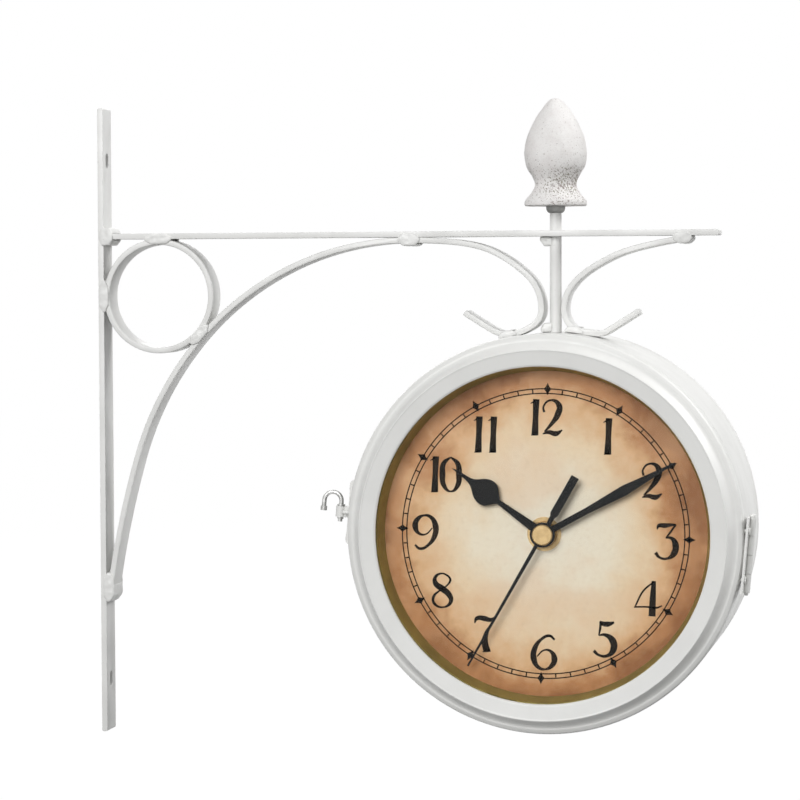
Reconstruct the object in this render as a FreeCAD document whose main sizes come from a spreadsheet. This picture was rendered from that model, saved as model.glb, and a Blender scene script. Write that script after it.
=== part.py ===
import FreeCAD, Part
import math
import os
import Sketcher

# Double sided station clock on a wall bracket, millimetres.
# Origin: middle of the two wall screws on the back of the wall bar.
# +X runs along the arm away from the wall, +Z is up, and the front dial faces -Y.

Vector = FreeCAD.Vector
Rotation = FreeCAD.Rotation
UP = Vector(0, 0, 1)
DRUM_AXIS = Vector(0, 1, 0)

DRIVING_SIZES = [
    ("bar_length", 330, "wall bar, end to end"),
    ("strip_width", 14, "width of every flat strip"),
    ("strip_thick", 3, "thickness of every flat strip"),
    ("slot_spacing", 275, "between the two screw slots"),
    ("slot_length", 8, "screw slot, end to end"),
    ("slot_width", 4.5, "screw slot, across"),
    ("arm_level", 97.5, "middle of the arm above the origin"),
    ("arm_reach", 327, "wall to the free end of the arm"),
    ("drum_reach", 243, "wall to the axis of the drum"),
    ("stem_free", 49, "free height between the arm and the drum"),
    ("drum_radius", 100, "outside of drum and bezels"),
    ("drum_half_depth", 50, "middle of the drum to the front ridge"),
    ("ring_radius", 30, "outside of the bracket ring"),
    ("stem_radius", 3, "upright rod"),
    ("finial_height", 55, "finial without its nut"),
    ("finial_radius", 16.1, "foot of the finial"),
    ("sheet_thick", 1.2, "drum and bezel sheet"),
    ("bezel_opening", 84, "radius of the view opening"),
    ("dial_recess", 13, "front ridge to the dial face"),
    ("door_turn", 5, "hinge and latch line, degrees clockwise"),
    ("hinge_length", 38, "hinge barrel"),
    ("barrel_radius", 1.8, "hinge barrel"),
    ("hinge_pin_radius", 1.0, "hinge pin"),
    ("hour_reach", 56.5, "hour hand, axis to tip"),
    ("minute_reach", 75.5, "minute hand, axis to tip"),
    ("second_reach", 76.5, "second hand, axis to tip"),
    ("tail_reach", 33.5, "second hand, axis to tail end"),
    ("hand_thick", 0.5, "sheet of the hands"),
    ("hour_angle", 305.5, "hour hand at rest, degrees clockwise"),
    ("minute_angle", 61, "minute hand at rest, degrees clockwise"),
    ("second_angle", 209.7, "second hand at rest, degrees clockwise"),
    ("case_width", 56, "movement case, both ways"),
    ("case_depth", 16, "movement case"),
    ("battery_radius", 7.2, "one AA cell"),
    ("battery_length", 50, "one AA cell"),
    ("tooth_module", 0.6, "motion work gears"),
]

doc = FreeCAD.newDocument("StationClock")
sheet = doc.addObject("Spreadsheet::Sheet", "sizes")
for row, (alias, number, meaning) in enumerate(DRIVING_SIZES, start=1):
    sheet.set("A%d" % row, meaning)
    sheet.set("B%d" % row, str(number))
    sheet.setAlias("B%d" % row, alias)
doc.recompute()


class Size:
    """A length: its number now, and the expression that binds it to the sheet."""

    def __init__(self, number, text):
        self.number = float(number)
        self.text = text

    def joined(self, sign, other, number):
        return Size(number, "(%s %s %s)" % (self.text, sign, other.text))

    def __add__(self, other):
        other = size(other)
        return self.joined("+", other, self.number + other.number)

    def __sub__(self, other):
        other = size(other)
        return self.joined("-", other, self.number - other.number)

    def __mul__(self, other):
        other = size(other)
        return self.joined("*", other, self.number * other.number)

    def __truediv__(self, other):
        other = size(other)
        return self.joined("/", other, self.number / other.number)

    def __radd__(self, other):
        return size(other) + self

    def __rsub__(self, other):
        return size(other) - self

    def __rmul__(self, other):
        return size(other) * self

    def __neg__(self):
        return size(0) - self


def size(value):
    return value if isinstance(value, Size) else Size(value, "%.6g" % value)


def driving(alias):
    return Size(sheet.get(alias), "sizes." + alias)


def circle_rise(radius, along):
    """Height of a circle's edge at a distance along from its top."""
    number = math.sqrt(size(radius).number ** 2 - size(along).number ** 2)
    return Size(number, "sqrt((%s)^2 - (%s)^2)" % (size(radius).text, size(along).text))


def at_angle(radius, degrees, trig):
    """radius times the sine or cosine of an angle in degrees."""
    turn = size(degrees)
    number = size(radius).number * getattr(math, trig)(math.radians(turn.number))
    return Size(number, "(%s) * %s((%s) * 1 deg)" % (size(radius).text, trig, turn.text))


bar_length = driving("bar_length")
strip_width = driving("strip_width")
strip_thick = driving("strip_thick")
arm_level = driving("arm_level")
arm_reach = driving("arm_reach")
drum_reach = driving("drum_reach")
drum_radius = driving("drum_radius")
ridge_depth = driving("drum_half_depth")
ring_radius = driving("ring_radius")
stem_radius = driving("stem_radius")
sheet_thick = driving("sheet_thick")
bezel_opening = driving("bezel_opening")
hand_thick = driving("hand_thick")
case_width = driving("case_width")
tooth_module = driving("tooth_module")

arm_underside = arm_level - strip_thick / 2
arm_top = arm_level + strip_thick / 2
rise = driving("stem_free")
drum_top = arm_underside - rise
drum_level = drum_top - drum_radius

seam_depth = ridge_depth - 15.8          # where the bezels meet the drum shell
seam_gap = size(0.4)
dial_face = ridge_depth - driving("dial_recess")
dial_thick = size(1.0)
dial_back = dial_face - dial_thick
glass_thick = size(1.8)
glass_front = ridge_depth - 2.6
glass_back = glass_front - glass_thick
running_gap = size(0.05)

bodies = []


# ---------------------------------------------------------------- helpers

def new_body(label):
    body = doc.addObject("PartDesign::Body", label)
    body.Label = label
    return body


def finish(piece, label):
    """Register an object as a sub-part under its own label."""
    piece.Label = label
    bodies.append(piece)
    return piece


def new_sketch(body, plane, name, offset=0):
    """A sketch on one of the body's origin planes, moved along the plane's normal."""
    sketch = body.newObject("Sketcher::SketchObject", name)
    support = [item for item in body.Origin.OriginFeatures if item.Role == plane][0]
    sketch.AttachmentSupport = [(support, "")]
    sketch.MapMode = "FlatFace"
    offset = size(offset)
    sketch.AttachmentOffset = FreeCAD.Placement(Vector(0, 0, offset.number), Rotation())
    sketch.setExpression("AttachmentOffset.Base.z", offset.text)
    return sketch


def bind(sketch, constraint, length):
    index = sketch.addConstraint(constraint)
    sketch.setExpression("Constraints[%d]" % index, length.text)


def pin(sketch, edge, end, x, y):
    """Hold one end (or centre, 3) of an edge at x, y from the sketch's origin."""
    for kind, length in (("DistanceX", size(x)), ("DistanceY", size(y))):
        bind(sketch, Sketcher.Constraint(kind, -1, 1, edge, end, length.number), length)


def flat(point):
    return Vector(size(point[0]).number, size(point[1]).number, 0)


def draw_outline(sketch, corners):
    """A closed outline of straight edges with every corner bound."""
    count = len(corners)
    first = sketch.GeometryCount
    for index in range(count):
        start, stop = flat(corners[index]), flat(corners[(index + 1) % count])
        sketch.addGeometry(Part.LineSegment(start, stop), False)
    for index in range(count):
        after = first + (index + 1) % count
        sketch.addConstraint(Sketcher.Constraint("Coincident", first + index, 2, after, 1))
        pin(sketch, first + index, 1, *corners[index])


def draw_circle(sketch, x, y, radius):
    radius = size(radius)
    edge = sketch.addGeometry(Part.Circle(flat((x, y)), Vector(0, 0, 1), radius.number), False)
    pin(sketch, edge, 3, x, y)
    bind(sketch, Sketcher.Constraint("Radius", edge, radius.number), radius)


def draw_box(sketch, x, y, width, height):
    """A rectangle about x, y."""
    x, y = size(x), size(y)
    half_width, half_height = size(width) / 2, size(height) / 2
    draw_outline(sketch, [(x - half_width, y - half_height), (x + half_width, y - half_height),
                          (x + half_width, y + half_height), (x - half_width, y + half_height)])


def extruded(body, kind, sketch, length, midplane=False, backwards=False):
    feature = body.newObject("PartDesign::" + kind, kind)
    feature.Profile = sketch
    length = size(length)
    feature.Length = length.number
    feature.setExpression("Length", length.text)
    feature.SideType = "Symmetric" if midplane else "One side"
    feature.Reversed = backwards
    doc.recompute()
    return feature


def pad(body, sketch, length, midplane=False):
    return extruded(body, "Pad", sketch, length, midplane)


def pocket(body, sketch, length, midplane=False):
    """Cut along the sketch's normal, away from the viewer of the sketch's back."""
    volume = body.Shape.Volume
    feature = extruded(body, "Pocket", sketch, length, midplane, backwards=True)
    if body.Shape.Volume > volume - 1e-6:
        raise RuntimeError(body.Label + ": a pocket cut nothing")
    return feature


def turned(label, corners, about="drum"):
    """A body of revolution. Corners are (radius, depth towards the front) about the
    drum's axis, or (radius, height) about an upright axis."""
    body = new_body(label)
    if about == "drum":
        sketch = new_sketch(body, "XY_Plane", "Profile")
        draw_outline(sketch, [(radius, -size(depth)) for radius, depth in corners])
    else:
        sketch = new_sketch(body, "XZ_Plane", "Profile")
        draw_outline(sketch, corners)
    feature = body.newObject("PartDesign::Revolution", "Revolution")
    feature.Profile = sketch
    feature.ReferenceAxis = (sketch, ["V_Axis"])
    doc.recompute()
    return body


def edges_where(shape, wanted):
    return ["Edge%d" % number for number, edge in enumerate(shape.Edges, start=1) if wanted(edge)]


def dressed(body, kind, amount, wanted):
    """Fillet or chamfer the edges of the body's tip that pass the test."""
    base = body.Tip
    names = edges_where(base.Shape, wanted)
    if not names:
        raise RuntimeError(body.Label + ": no edge to dress")
    feature = body.newObject("PartDesign::" + kind, kind)
    feature.Base = (base, names)
    amount = size(amount)
    target = "Radius" if kind == "Fillet" else "Size"
    setattr(feature, target, amount.number)
    feature.setExpression(target, amount.text)
    doc.recompute()
    return feature


def place(piece, x, y, z, rotation=None):
    """Put a piece at x, y, z, and keep it there when the sheet changes."""
    lengths = [size(x), size(y), size(z)]
    base = Vector(*[length.number for length in lengths])
    piece.Placement = FreeCAD.Placement(base, rotation or Rotation())
    for axis, length in zip("xyz", lengths):
        piece.setExpression("Placement.Base." + axis, length.text)


def front_view(degrees):
    """Clockwise turn, seen from the front, about the drum's axis."""
    return Rotation(DRUM_AXIS, size(degrees).number)


def place_on_drum(piece, side, degrees=0, x=0, z=0):
    """Place a piece drawn for the front about the drum's centre, on the front or rear."""
    facing = Rotation(UP, 180) if side == "rear" else Rotation()
    across = -size(x) if side == "rear" else size(x)
    place(piece, drum_reach + across, 0, drum_level + size(z), facing * front_view(degrees))


def solid(label, shape):
    """A sub-part whose shape is made in code from the sheet's sizes."""
    piece = doc.addObject("Part::Feature", label)
    piece.Shape = shape
    return finish(piece, label)


# ---------------------------------------------------------------- bent strips

def heading(degrees):
    return Vector(math.cos(math.radians(degrees)), math.sin(math.radians(degrees)), 0)


def joint_of_arcs(start, start_way, stop, stop_way):
    """Where two tangent arcs that join two headed points meet."""
    across = stop - start
    both = start_way + stop_way
    bend = 2 * (1 - start_way.dot(stop_way))
    reach = across.dot(both)
    if bend < 1e-9:
        step = across.dot(across) / (2 * reach)
    else:
        step = (math.sqrt(reach * reach + bend * across.dot(across)) - reach) / bend
    return (start + start_way * step + stop - stop_way * step) * 0.5


def tangent_arc(start, way, stop):
    """The arc that leaves start along way and ends at stop, or a line where it is straight."""
    chord = stop - start
    side = Vector(-way.y, way.x, 0)
    curvature = 2 * chord.dot(side) / chord.dot(chord)
    if abs(curvature) < 1e-6:
        return Part.LineSegment(start, stop), False
    centre = start + side * (1 / curvature)
    radius = abs(1 / curvature)
    angles = [math.atan2(point.y - centre.y, point.x - centre.x) for point in (start, stop)]
    clockwise = curvature < 0
    if clockwise:
        angles.reverse()
    circle = Part.Circle(centre, Vector(0, 0, 1), radius)
    return Part.ArcOfCircle(circle, angles[0], angles[1]), clockwise


def bent_strip(label, stations):
    """A flat strip bent on edge through headed points, as a chain of tangent arcs."""
    body = new_body(label)
    path = new_sketch(body, "XZ_Plane", "Path")
    last_end = None
    for (start, start_way), (stop, stop_way) in zip(stations, stations[1:]):
        points = flat(start), flat(stop)
        ways = heading(start_way), heading(stop_way)
        middle = joint_of_arcs(points[0], ways[0], points[1], ways[1])
        straight = abs((points[1] - points[0]).normalize().dot(ways[0]) - 1) < 1e-6
        spans = [(points[0], points[1])] if straight else [(points[0], middle), (middle, points[1])]
        way = ways[0]
        for begin, end in spans:
            curve, clockwise = tangent_arc(begin, way, end)
            edge = path.addGeometry(curve, False)
            ends = (2, 1) if clockwise else (1, 2)
            if last_end:
                path.addConstraint(Sketcher.Constraint("Tangent", *last_end, edge, ends[0]))
            else:
                pin(path, edge, ends[0], *start)
            last_end = (edge, ends[1])
            chord = end - begin
            way = chord * (2 * chord.dot(way) / chord.dot(chord)) - way
        pin(path, last_end[0], last_end[1], *stop)
    section = new_sketch(body, "YZ_Plane", "Section", stations[0][0][0])
    draw_box(section, 0, stations[0][0][1], strip_width, strip_thick)
    doc.recompute()
    sweep = body.newObject("PartDesign::AdditivePipe", "Sweep")
    sweep.Profile = section
    sweep.Spine = path
    sweep.Mode = "Standard"
    doc.recompute()
    return finish(body, label)


# ---------------------------------------------------------------- bracket

def rounded_strip_ends(body):
    dressed(body, "Fillet", 1.0, lambda edge: edge.BoundBox.YLength > strip_width.number - 0.01)


def make_wall_bar():
    body = new_body("wall_bar")
    side = new_sketch(body, "XZ_Plane", "Side")
    draw_box(side, strip_thick / 2, 0, strip_thick, bar_length)
    pad(body, side, strip_width, midplane=True)
    rounded_strip_ends(body)
    slots = new_sketch(body, "YZ_Plane", "Slots")
    half_run = (driving("slot_length") - driving("slot_width")) / 2
    for end in (-1, 1):
        level = end * driving("slot_spacing") / 2
        draw_box(slots, 0, level, driving("slot_width"), half_run * 2)
    pocket(body, slots, strip_thick)
    for end in (-1, 1):
        for way in (-1, 1):
            tip = new_sketch(body, "YZ_Plane", "SlotEnd")
            level = end * driving("slot_spacing") / 2 + way * half_run
            draw_circle(tip, 0, level, driving("slot_width") / 2)
            pocket(body, tip, strip_thick)
    finish(body, "wall_bar")


def make_support_arm():
    body = new_body("support_arm")
    side = new_sketch(body, "XZ_Plane", "Side")
    draw_outline(side, [(strip_thick, arm_underside), (arm_reach, arm_underside),
                        (arm_reach, arm_top), (strip_thick, arm_top)])
    pad(body, side, strip_width, midplane=True)
    dressed(body, "Fillet", 1.0, lambda edge: edge.BoundBox.YLength > strip_width.number - 0.01
            and edge.BoundBox.XMin > arm_reach.number - 0.01)
    hole = new_sketch(body, "XY_Plane", "StemHole", arm_underside)
    draw_circle(hole, drum_reach, 0, stem_radius + running_gap)
    pocket(body, hole, strip_thick)
    finish(body, "support_arm")


def ring_middle():
    return strip_thick + ring_radius, arm_underside - ring_radius


def make_bracket_ring():
    body = new_body("bracket_ring")
    hoop = new_sketch(body, "XZ_Plane", "Hoop")
    draw_circle(hoop, *ring_middle(), ring_radius)
    draw_circle(hoop, *ring_middle(), ring_radius - strip_thick)
    pad(body, hoop, strip_width, midplane=True)
    finish(body, "bracket_ring")


def junction():
    """Where the brace and the inner scroll meet under the arm."""
    return drum_reach - 76


def ring_contact():
    """The brace's middle line where it lies against the ring."""
    x, z = ring_middle()
    reach = ring_radius + strip_thick / 2
    return x + at_angle(reach, RING_TOUCH_ANGLE, "cos"), z - at_angle(reach, RING_TOUCH_ANGLE, "sin")


def drum_contact(degrees):
    """A strip's middle line where it lies on the drum, at an angle from the top."""
    reach = drum_radius + strip_thick / 2
    return drum_reach + at_angle(reach, degrees, "sin"), drum_level + at_angle(reach, degrees, "cos")


RING_TOUCH_ANGLE = 42
INNER_TOUCH_ANGLE = -12
OUTER_TOUCH_ANGLE = 8


def make_strips():
    under_arm = arm_underside - strip_thick / 2
    foot = (strip_thick * 1.5, -bar_length * 0.282)
    bent_strip("long_brace", [((junction(), under_arm), 180),
                              (ring_contact(), 270 - RING_TOUCH_ANGLE),
                              (foot, 262)])

    def beside(across, up):
        """A point left or right of the stem and above the drum, in parts of the free height."""
        return drum_reach + rise * across, drum_top + rise * up

    bent_strip("inner_scroll", [((junction() + 1.5, under_arm), 0),
                                ((junction() + 23, under_arm - 1), -5),
                                (beside(-0.6, 0.825), -27),
                                ((drum_reach - stem_radius - 3.4, drum_top + rise * 0.25), -90),
                                (drum_contact(INNER_TOUCH_ANGLE), -180 - INNER_TOUCH_ANGLE),
                                (beside(-0.685, 0.045), -212),
                                (beside(-0.947, 0.2087), -212)])
    bent_strip("outer_scroll", [((arm_reach - 18, under_arm), 188),
                                (beside(0.843, 0.87), 194.5),
                                (beside(0.35, 0.64), 214),
                                ((drum_reach + stem_radius + 2.2, drum_top + rise * 0.25), 270),
                                (drum_contact(OUTER_TOUCH_ANGLE), 360 - OUTER_TOUCH_ANGLE),
                                (beside(0.565, 0.02), 392),
                                (beside(0.885, 0.22), 392)])


STEM_IN_FINIAL = 12.0


def finial_base():
    return arm_top + 12.5


def make_stem():
    body = new_body("stem")
    rod = new_sketch(body, "XY_Plane", "Rod", drum_top)
    draw_circle(rod, 0, 0, stem_radius)
    pad(body, rod, finial_base() + STEM_IN_FINIAL - drum_top)
    dressed(body, "Chamfer", 0.6, lambda edge: edge.BoundBox.ZMin > drum_top.number + 1)
    finish(body, "stem")
    place(body, drum_reach, 0, 0)


def make_finial():
    """A pointed bulb on a flared foot, with a blind bore for the stem."""
    body = new_body("finial")
    profile = new_sketch(body, "XZ_Plane", "Profile")
    base = finial_base()
    floor = base + STEM_IN_FINIAL + 0.4
    bore = stem_radius + running_gap

    def on_finial(across, up):
        return driving("finial_radius") * across, base + driving("finial_height") * up

    tip, waist, shoulder = on_finial(0.29, 0.957), on_finial(0.66, 0.225), on_finial(0.93, 0.6)
    lower = [tip, on_finial(0.13, 0.992), on_finial(0, 1), (size(0), floor), (bore, floor),
             (bore, base), on_finial(1, 0), on_finial(0.98, 0.055), on_finial(0.67, 0.165), waist]
    bulges = [(waist, on_finial(0.965, 0.4), shoulder), (shoulder, on_finial(0.72, 0.755), tip)]
    for start, stop in zip(lower, lower[1:]):
        profile.addGeometry(Part.LineSegment(flat(start), flat(stop)), False)
    last_end = (len(lower) - 2, 2)
    for edge in range(last_end[0]):
        profile.addConstraint(Sketcher.Constraint("Coincident", edge, 2, edge + 1, 1))
    for edge, corner in enumerate(lower[:-1]):
        pin(profile, edge, 1, *corner)
    pin(profile, *last_end, *lower[-1])
    for start, middle, stop in bulges:
        curve = Part.Arc(flat(start), flat(middle), flat(stop))
        edge = profile.addGeometry(curve, False)
        begins_first = curve.StartPoint.distanceToPoint(flat(start)) < curve.EndPoint.distanceToPoint(flat(start))
        ends = (1, 2) if begins_first else (2, 1)
        profile.addConstraint(Sketcher.Constraint("Coincident", *last_end, edge, ends[0]))
        last_end = (edge, ends[1])
        if stop == bulges[-1][2]:
            profile.addConstraint(Sketcher.Constraint("Coincident", *last_end, 0, 1))
        else:
            pin(profile, *last_end, *stop)
    feature = body.newObject("PartDesign::Revolution", "Revolution")
    feature.Profile = profile
    feature.ReferenceAxis = (profile, ["V_Axis"])
    doc.recompute()
    finish(body, "finial")
    place(body, drum_reach, 0, 0)


def make_finial_nut():
    """The domed lock nut that the finial sits on."""
    base = finial_base()
    tall = size(3.6)
    bore = stem_radius + running_gap
    rim = stem_radius + 1.9
    body = turned("finial_nut", [(bore, base - tall), (stem_radius + 0.9, base - tall),
                                 (rim, base - tall * 0.55), (rim, base), (bore, base)], about="upright")
    finish(body, "finial_nut")
    place(body, drum_reach, 0, 0)


def make_weld_beads():
    """One lump of weld round each joint, a hair clear of the strips that it joins."""
    ring_x, ring_z = [length.number for length in ring_middle()]
    touch = math.radians(RING_TOUCH_ANGLE)
    ring_reach = ring_radius.number
    under = arm_underside.number
    bar_face = strip_thick.number
    stem_side = drum_reach.number - stem_radius.number
    inner_x, inner_z = [length.number for length in drum_contact(INNER_TOUCH_ANGLE)]
    outer_x, outer_z = [length.number for length in drum_contact(OUTER_TOUCH_ANGLE)]
    wide = strip_width.number
    spots = [
        (bar_face + 1.3, arm_level.number, 4.0, 4.6, 0, wide),
        (ring_x, under, 7.5, 2.8, 0, wide),
        (bar_face, ring_z, 8.5, 2.8, 90, wide),
        (ring_x + ring_reach * math.cos(touch), ring_z - ring_reach * math.sin(touch), 7.0, 2.8, 48, wide),
        (bar_face + 1.4, -bar_length.number * 0.282 + 5, 8.0, 3.0, 88, wide),
        (junction().number + 0.7, under - 1.2, 6.0, 3.2, 0, wide),
        (arm_reach.number - 18.5, under - 1.0, 5.0, 3.0, 0, wide),
        (stem_side - 0.4, under - 0.8, 4.4, 4.0, 0, 4.0),
        (stem_side - 0.3, drum_top.number + 1.2, 4.2, 3.6, 0, 4.0),
        (inner_x - 2.6, inner_z - 1.0, 5.0, 2.8, 10, wide),
        (outer_x - 4.0, outer_z - 0.6, 5.0, 3.2, 0, wide),
    ]
    nearby = [piece.Shape for piece in bodies if piece.Label not in ("finial", "finial_nut")]
    drum_room = Part.makeCylinder(drum_radius.number + WELD_GAP, 80,
                                  Vector(drum_reach.number, -40, drum_level.number), DRUM_AXIS)
    beads = []
    for x, z, half_long, half_high, tilt, length in spots:
        half = length / 2 + 0.9
        corners = [Vector(half_long * across, half_high * up, 0)
                   for across, up in ((1, -0.3), (1, 0.3), (0.55, 1), (-0.55, 1),
                                      (-1, 0.3), (-1, -0.3), (-0.55, -1), (0.55, -1), (1, -0.3))]
        bead = Part.Face(Part.makePolygon(corners)).extrude(Vector(0, 0, 2 * half))
        bead.Placement = FreeCAD.Placement(Vector(x, half, z), Rotation(Vector(1, 0, 0), 90)
                                           * Rotation(UP, tilt))
        for other in nearby + [drum_room]:
            for quarter in range(4):
                way = math.radians(tilt + 90 * quarter)
                moved = other.translated(Vector(math.cos(way), 0, math.sin(way)) * WELD_GAP)
                if bead.Solids and bead.BoundBox.intersect(moved.BoundBox):
                    bead = bead.cut(moved)
        beads += [lump for lump in bead.Solids if lump.Volume > SMALLEST_BEAD]
    solid("weld_beads", Part.makeCompound(beads))


WELD_GAP = 0.15
SMALLEST_BEAD = 4.0


# ---------------------------------------------------------------- drum and bezels

def rivet_holes(body, spots, radius, depth_from, depth_to):
    """Radial holes near the drum's side, drawn on the upright plane along the axis."""
    for depth, up in spots:
        sketch = new_sketch(body, "YZ_Plane", "RivetHole", depth_from)
        draw_circle(sketch, -size(depth), up, radius)
        pocket(body, sketch, size(depth_to) - size(depth_from))


def make_drum_shell():
    inner = drum_radius - sheet_thick
    edge = seam_depth - seam_gap
    body = turned("drum_shell", [(inner, -edge), (drum_radius, -edge), (drum_radius, edge),
                                 (inner, edge)])
    rivet_holes(body, [(LEAF_RIVET_DEPTH["drum"], LEAF_RIVET_UP), (LEAF_RIVET_DEPTH["drum"], -LEAF_RIVET_UP)],
                RIVET_RADIUS + 0.1, drum_radius - 6, drum_radius + 2)
    rivet_holes(body, [(LATCH_DEPTH, LATCH_RIVET_UP), (LATCH_DEPTH, -LATCH_RIVET_UP)],
                RIVET_RADIUS + 0.1, -drum_radius - 2, -drum_radius + 6)
    finish(body, "drum_shell")
    place(body, drum_reach, 0, drum_level, front_view(driving("door_turn")))


RIVET_RADIUS = 1.0
RIVET_HEAD = 0.8
LEAF_RIVET_UP = 12.0
LEAF_RIVET_DEPTH = {"drum": 27.5, "door": 39.0}
LATCH_DEPTH = 27.0
LATCH_RIVET_UP = 13.0


def make_bezel(label, side):
    """A pressed ring: side wall, rolled shoulder, hollow, ridge, flat face and inner turn."""
    wall = drum_radius - sheet_thick
    ridge = bezel_opening + 8
    shoulder = ridge_depth - 5.2
    hollow = ridge_depth - 4.4
    face_inner = ridge_depth - 0.9
    lip_end = glass_front
    body = turned(label, [
        (wall, seam_depth), (drum_radius, seam_depth), (drum_radius, shoulder - 3.8),
        (drum_radius - 1.3, shoulder - 1.4), (drum_radius - 4.6, hollow), (ridge + 0.5, ridge_depth),
        (bezel_opening, face_inner),
        (bezel_opening, lip_end), (bezel_opening + sheet_thick, lip_end),
        (bezel_opening + sheet_thick, face_inner - sheet_thick * 1.05),
        (ridge - 0.3, ridge_depth - sheet_thick * 1.15), (drum_radius - 5.4, hollow - sheet_thick),
        (wall, shoulder - 4.2)])
    tab_depth = dial_back - sheet_thick
    for quarter in range(4):
        tab = new_sketch(body, "XZ_Plane", "DialTab", tab_depth)
        angle = 45 + 90 * quarter
        middle = wall - 2.6
        corners = []
        for out, across in ((-2.8, -5), (2.8, -5), (2.8, 5), (-2.8, 5)):
            reach = middle + out
            corners.append((at_angle(reach, angle, "cos") - at_angle(across, angle, "sin"),
                            at_angle(reach, angle, "sin") + at_angle(across, angle, "cos")))
        draw_outline(tab, corners)
        pad(body, tab, sheet_thick)
    if side == "front":
        rivet_holes(body, [(LEAF_RIVET_DEPTH["door"], LEAF_RIVET_UP),
                           (LEAF_RIVET_DEPTH["door"], -LEAF_RIVET_UP)],
                    RIVET_RADIUS + 0.1, drum_radius - 6, drum_radius + 2)
        catch = new_sketch(body, "YZ_Plane", "Catch", -drum_radius - CATCH_REACH)
        draw_circle(catch, -CATCH_DEPTH, CATCH_UP, 1.0)
        pad(body, catch, CATCH_REACH + sheet_thick / 2)
    finish(body, label)
    place_on_drum(body, side, driving("door_turn"))


CATCH_DEPTH = seam_depth + 1.4
CATCH_UP = 0.5
CATCH_REACH = 4.2


def make_face_stack(side):
    """Glass, tapered trim ring and dial, held in the bezel."""
    glass = turned(side + "_glass", [(size(0), glass_back), (bezel_opening + 4.5, glass_back),
                                     (bezel_opening + 4.5, glass_front), (size(0), glass_front)])
    finish(glass, side + "_glass")
    place_on_drum(glass, side)
    foot = bezel_opening - 2.4
    trim = turned(side + "_trim_ring", [(foot, dial_face), (foot + 1.4, dial_face),
                                        (bezel_opening + 1.3, glass_back), (bezel_opening - 0.1, glass_back)])
    finish(trim, side + "_trim_ring")
    place_on_drum(trim, side)
    dial = turned(side + "_dial", [(DIAL_HOLE, dial_back), (drum_radius - sheet_thick - 1.3, dial_back),
                                   (drum_radius - sheet_thick - 1.3, dial_face), (DIAL_HOLE, dial_face)])
    finish(dial, side + "_dial")
    place_on_drum(dial, side)


DIAL_HOLE = size(4.15)


# ---------------------------------------------------------------- hinge and latch

def make_hinge_leaf(label, owner):
    """One leaf with its two knuckles. The drum's leaf has the first and third from the top."""
    body = new_body(label)
    barrel = driving("barrel_radius")
    length = driving("hinge_length")
    pitch = length / 4
    knuckles = (0, 2) if owner == "drum" else (1, 3)
    plate = new_sketch(body, "XZ_Plane", "Plate", -LEAF_WIDTH if owner == "drum" else 0)
    draw_box(plate, 0, 0, LEAF_THICK, length)
    pad(body, plate, LEAF_WIDTH)
    for knuckle in range(4):
        level = length / 2 - pitch * (knuckle + 1)
        if knuckle in knuckles:
            tube = new_sketch(body, "XY_Plane", "Knuckle", level + KNUCKLE_GAP / 2)
            draw_circle(tube, barrel - LEAF_THICK / 2 + 0.4, 0, barrel)
            pad(body, tube, pitch - KNUCKLE_GAP)
        else:
            clear = new_sketch(body, "XY_Plane", "Clearance", level - KNUCKLE_GAP / 2)
            draw_circle(clear, barrel - LEAF_THICK / 2 + 0.4, 0, barrel + 0.35)
            pocket(body, clear, pitch + KNUCKLE_GAP)
    bore = new_sketch(body, "XY_Plane", "Bore", -length / 2 - 1)
    draw_circle(bore, barrel - LEAF_THICK / 2 + 0.4, 0, driving("hinge_pin_radius") + running_gap)
    pocket(body, bore, length + 2)
    holes = new_sketch(body, "YZ_Plane", "RivetHoles", -2)
    away = seam_depth - LEAF_RIVET_DEPTH[owner]
    for up in (-LEAF_RIVET_UP, LEAF_RIVET_UP):
        draw_circle(holes, away, up, RIVET_RADIUS + 0.1)
    pocket(body, holes, 4)
    finish(body, label)
    place_hinge_piece(body, leaf_middle(), size(0))


LEAF_THICK = size(1.0)
LEAF_WIDTH = 9.0
KNUCKLE_GAP = size(0.3)


def leaf_middle():
    """Radius of the leaf's middle plane: the leaf lies on the drum's side."""
    return drum_radius + 0.15 + LEAF_THICK / 2


def hinge_radius():
    """The hinge line's distance from the drum's axis."""
    return leaf_middle() + driving("barrel_radius") - LEAF_THICK / 2 + 0.4


def place_hinge_piece(piece, radius, up):
    """Place a piece of the hinge by its distance from the drum's axis on the turned line."""
    turn = driving("door_turn")
    x = at_angle(radius, turn, "cos") + at_angle(up, turn, "sin")
    z = at_angle(up, turn, "cos") - at_angle(radius, turn, "sin")
    place(piece, drum_reach + x, -seam_depth, drum_level + z, front_view(turn))


def make_hinge_pin():
    """The pin with its domed head, which stays in the drum's knuckles."""
    half = driving("hinge_length") / 2
    pin_radius = driving("hinge_pin_radius")
    body = turned("hinge_pin", [(size(0), -half - 1.2), (pin_radius * 0.7, -half - 1.2),
                                (pin_radius, -half - 0.8), (pin_radius, half + 0.1),
                                (pin_radius * 1.7, half + 0.1), (pin_radius * 1.5, half + 0.9),
                                (pin_radius * 0.6, half + 1.4), (size(0), half + 1.4)],
                  about="upright")
    finish(body, "hinge_pin")
    place_hinge_piece(body, hinge_radius(), size(0))


def rivet(start, way, grip, head_radius):
    """A flat headed rivet through its holes."""
    shank = Part.makeCylinder(RIVET_RADIUS, grip, start, way)
    return shank.fuse(Part.makeCylinder(head_radius, RIVET_HEAD, start, way * -1))


def turned_line(shape):
    """Turn a shape drawn about the drum's centre onto the hinge and latch line."""
    centre = Vector(drum_reach.number, 0, drum_level.number)
    shape.Placement = FreeCAD.Placement(centre, front_view(driving("door_turn")))
    return shape


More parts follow.
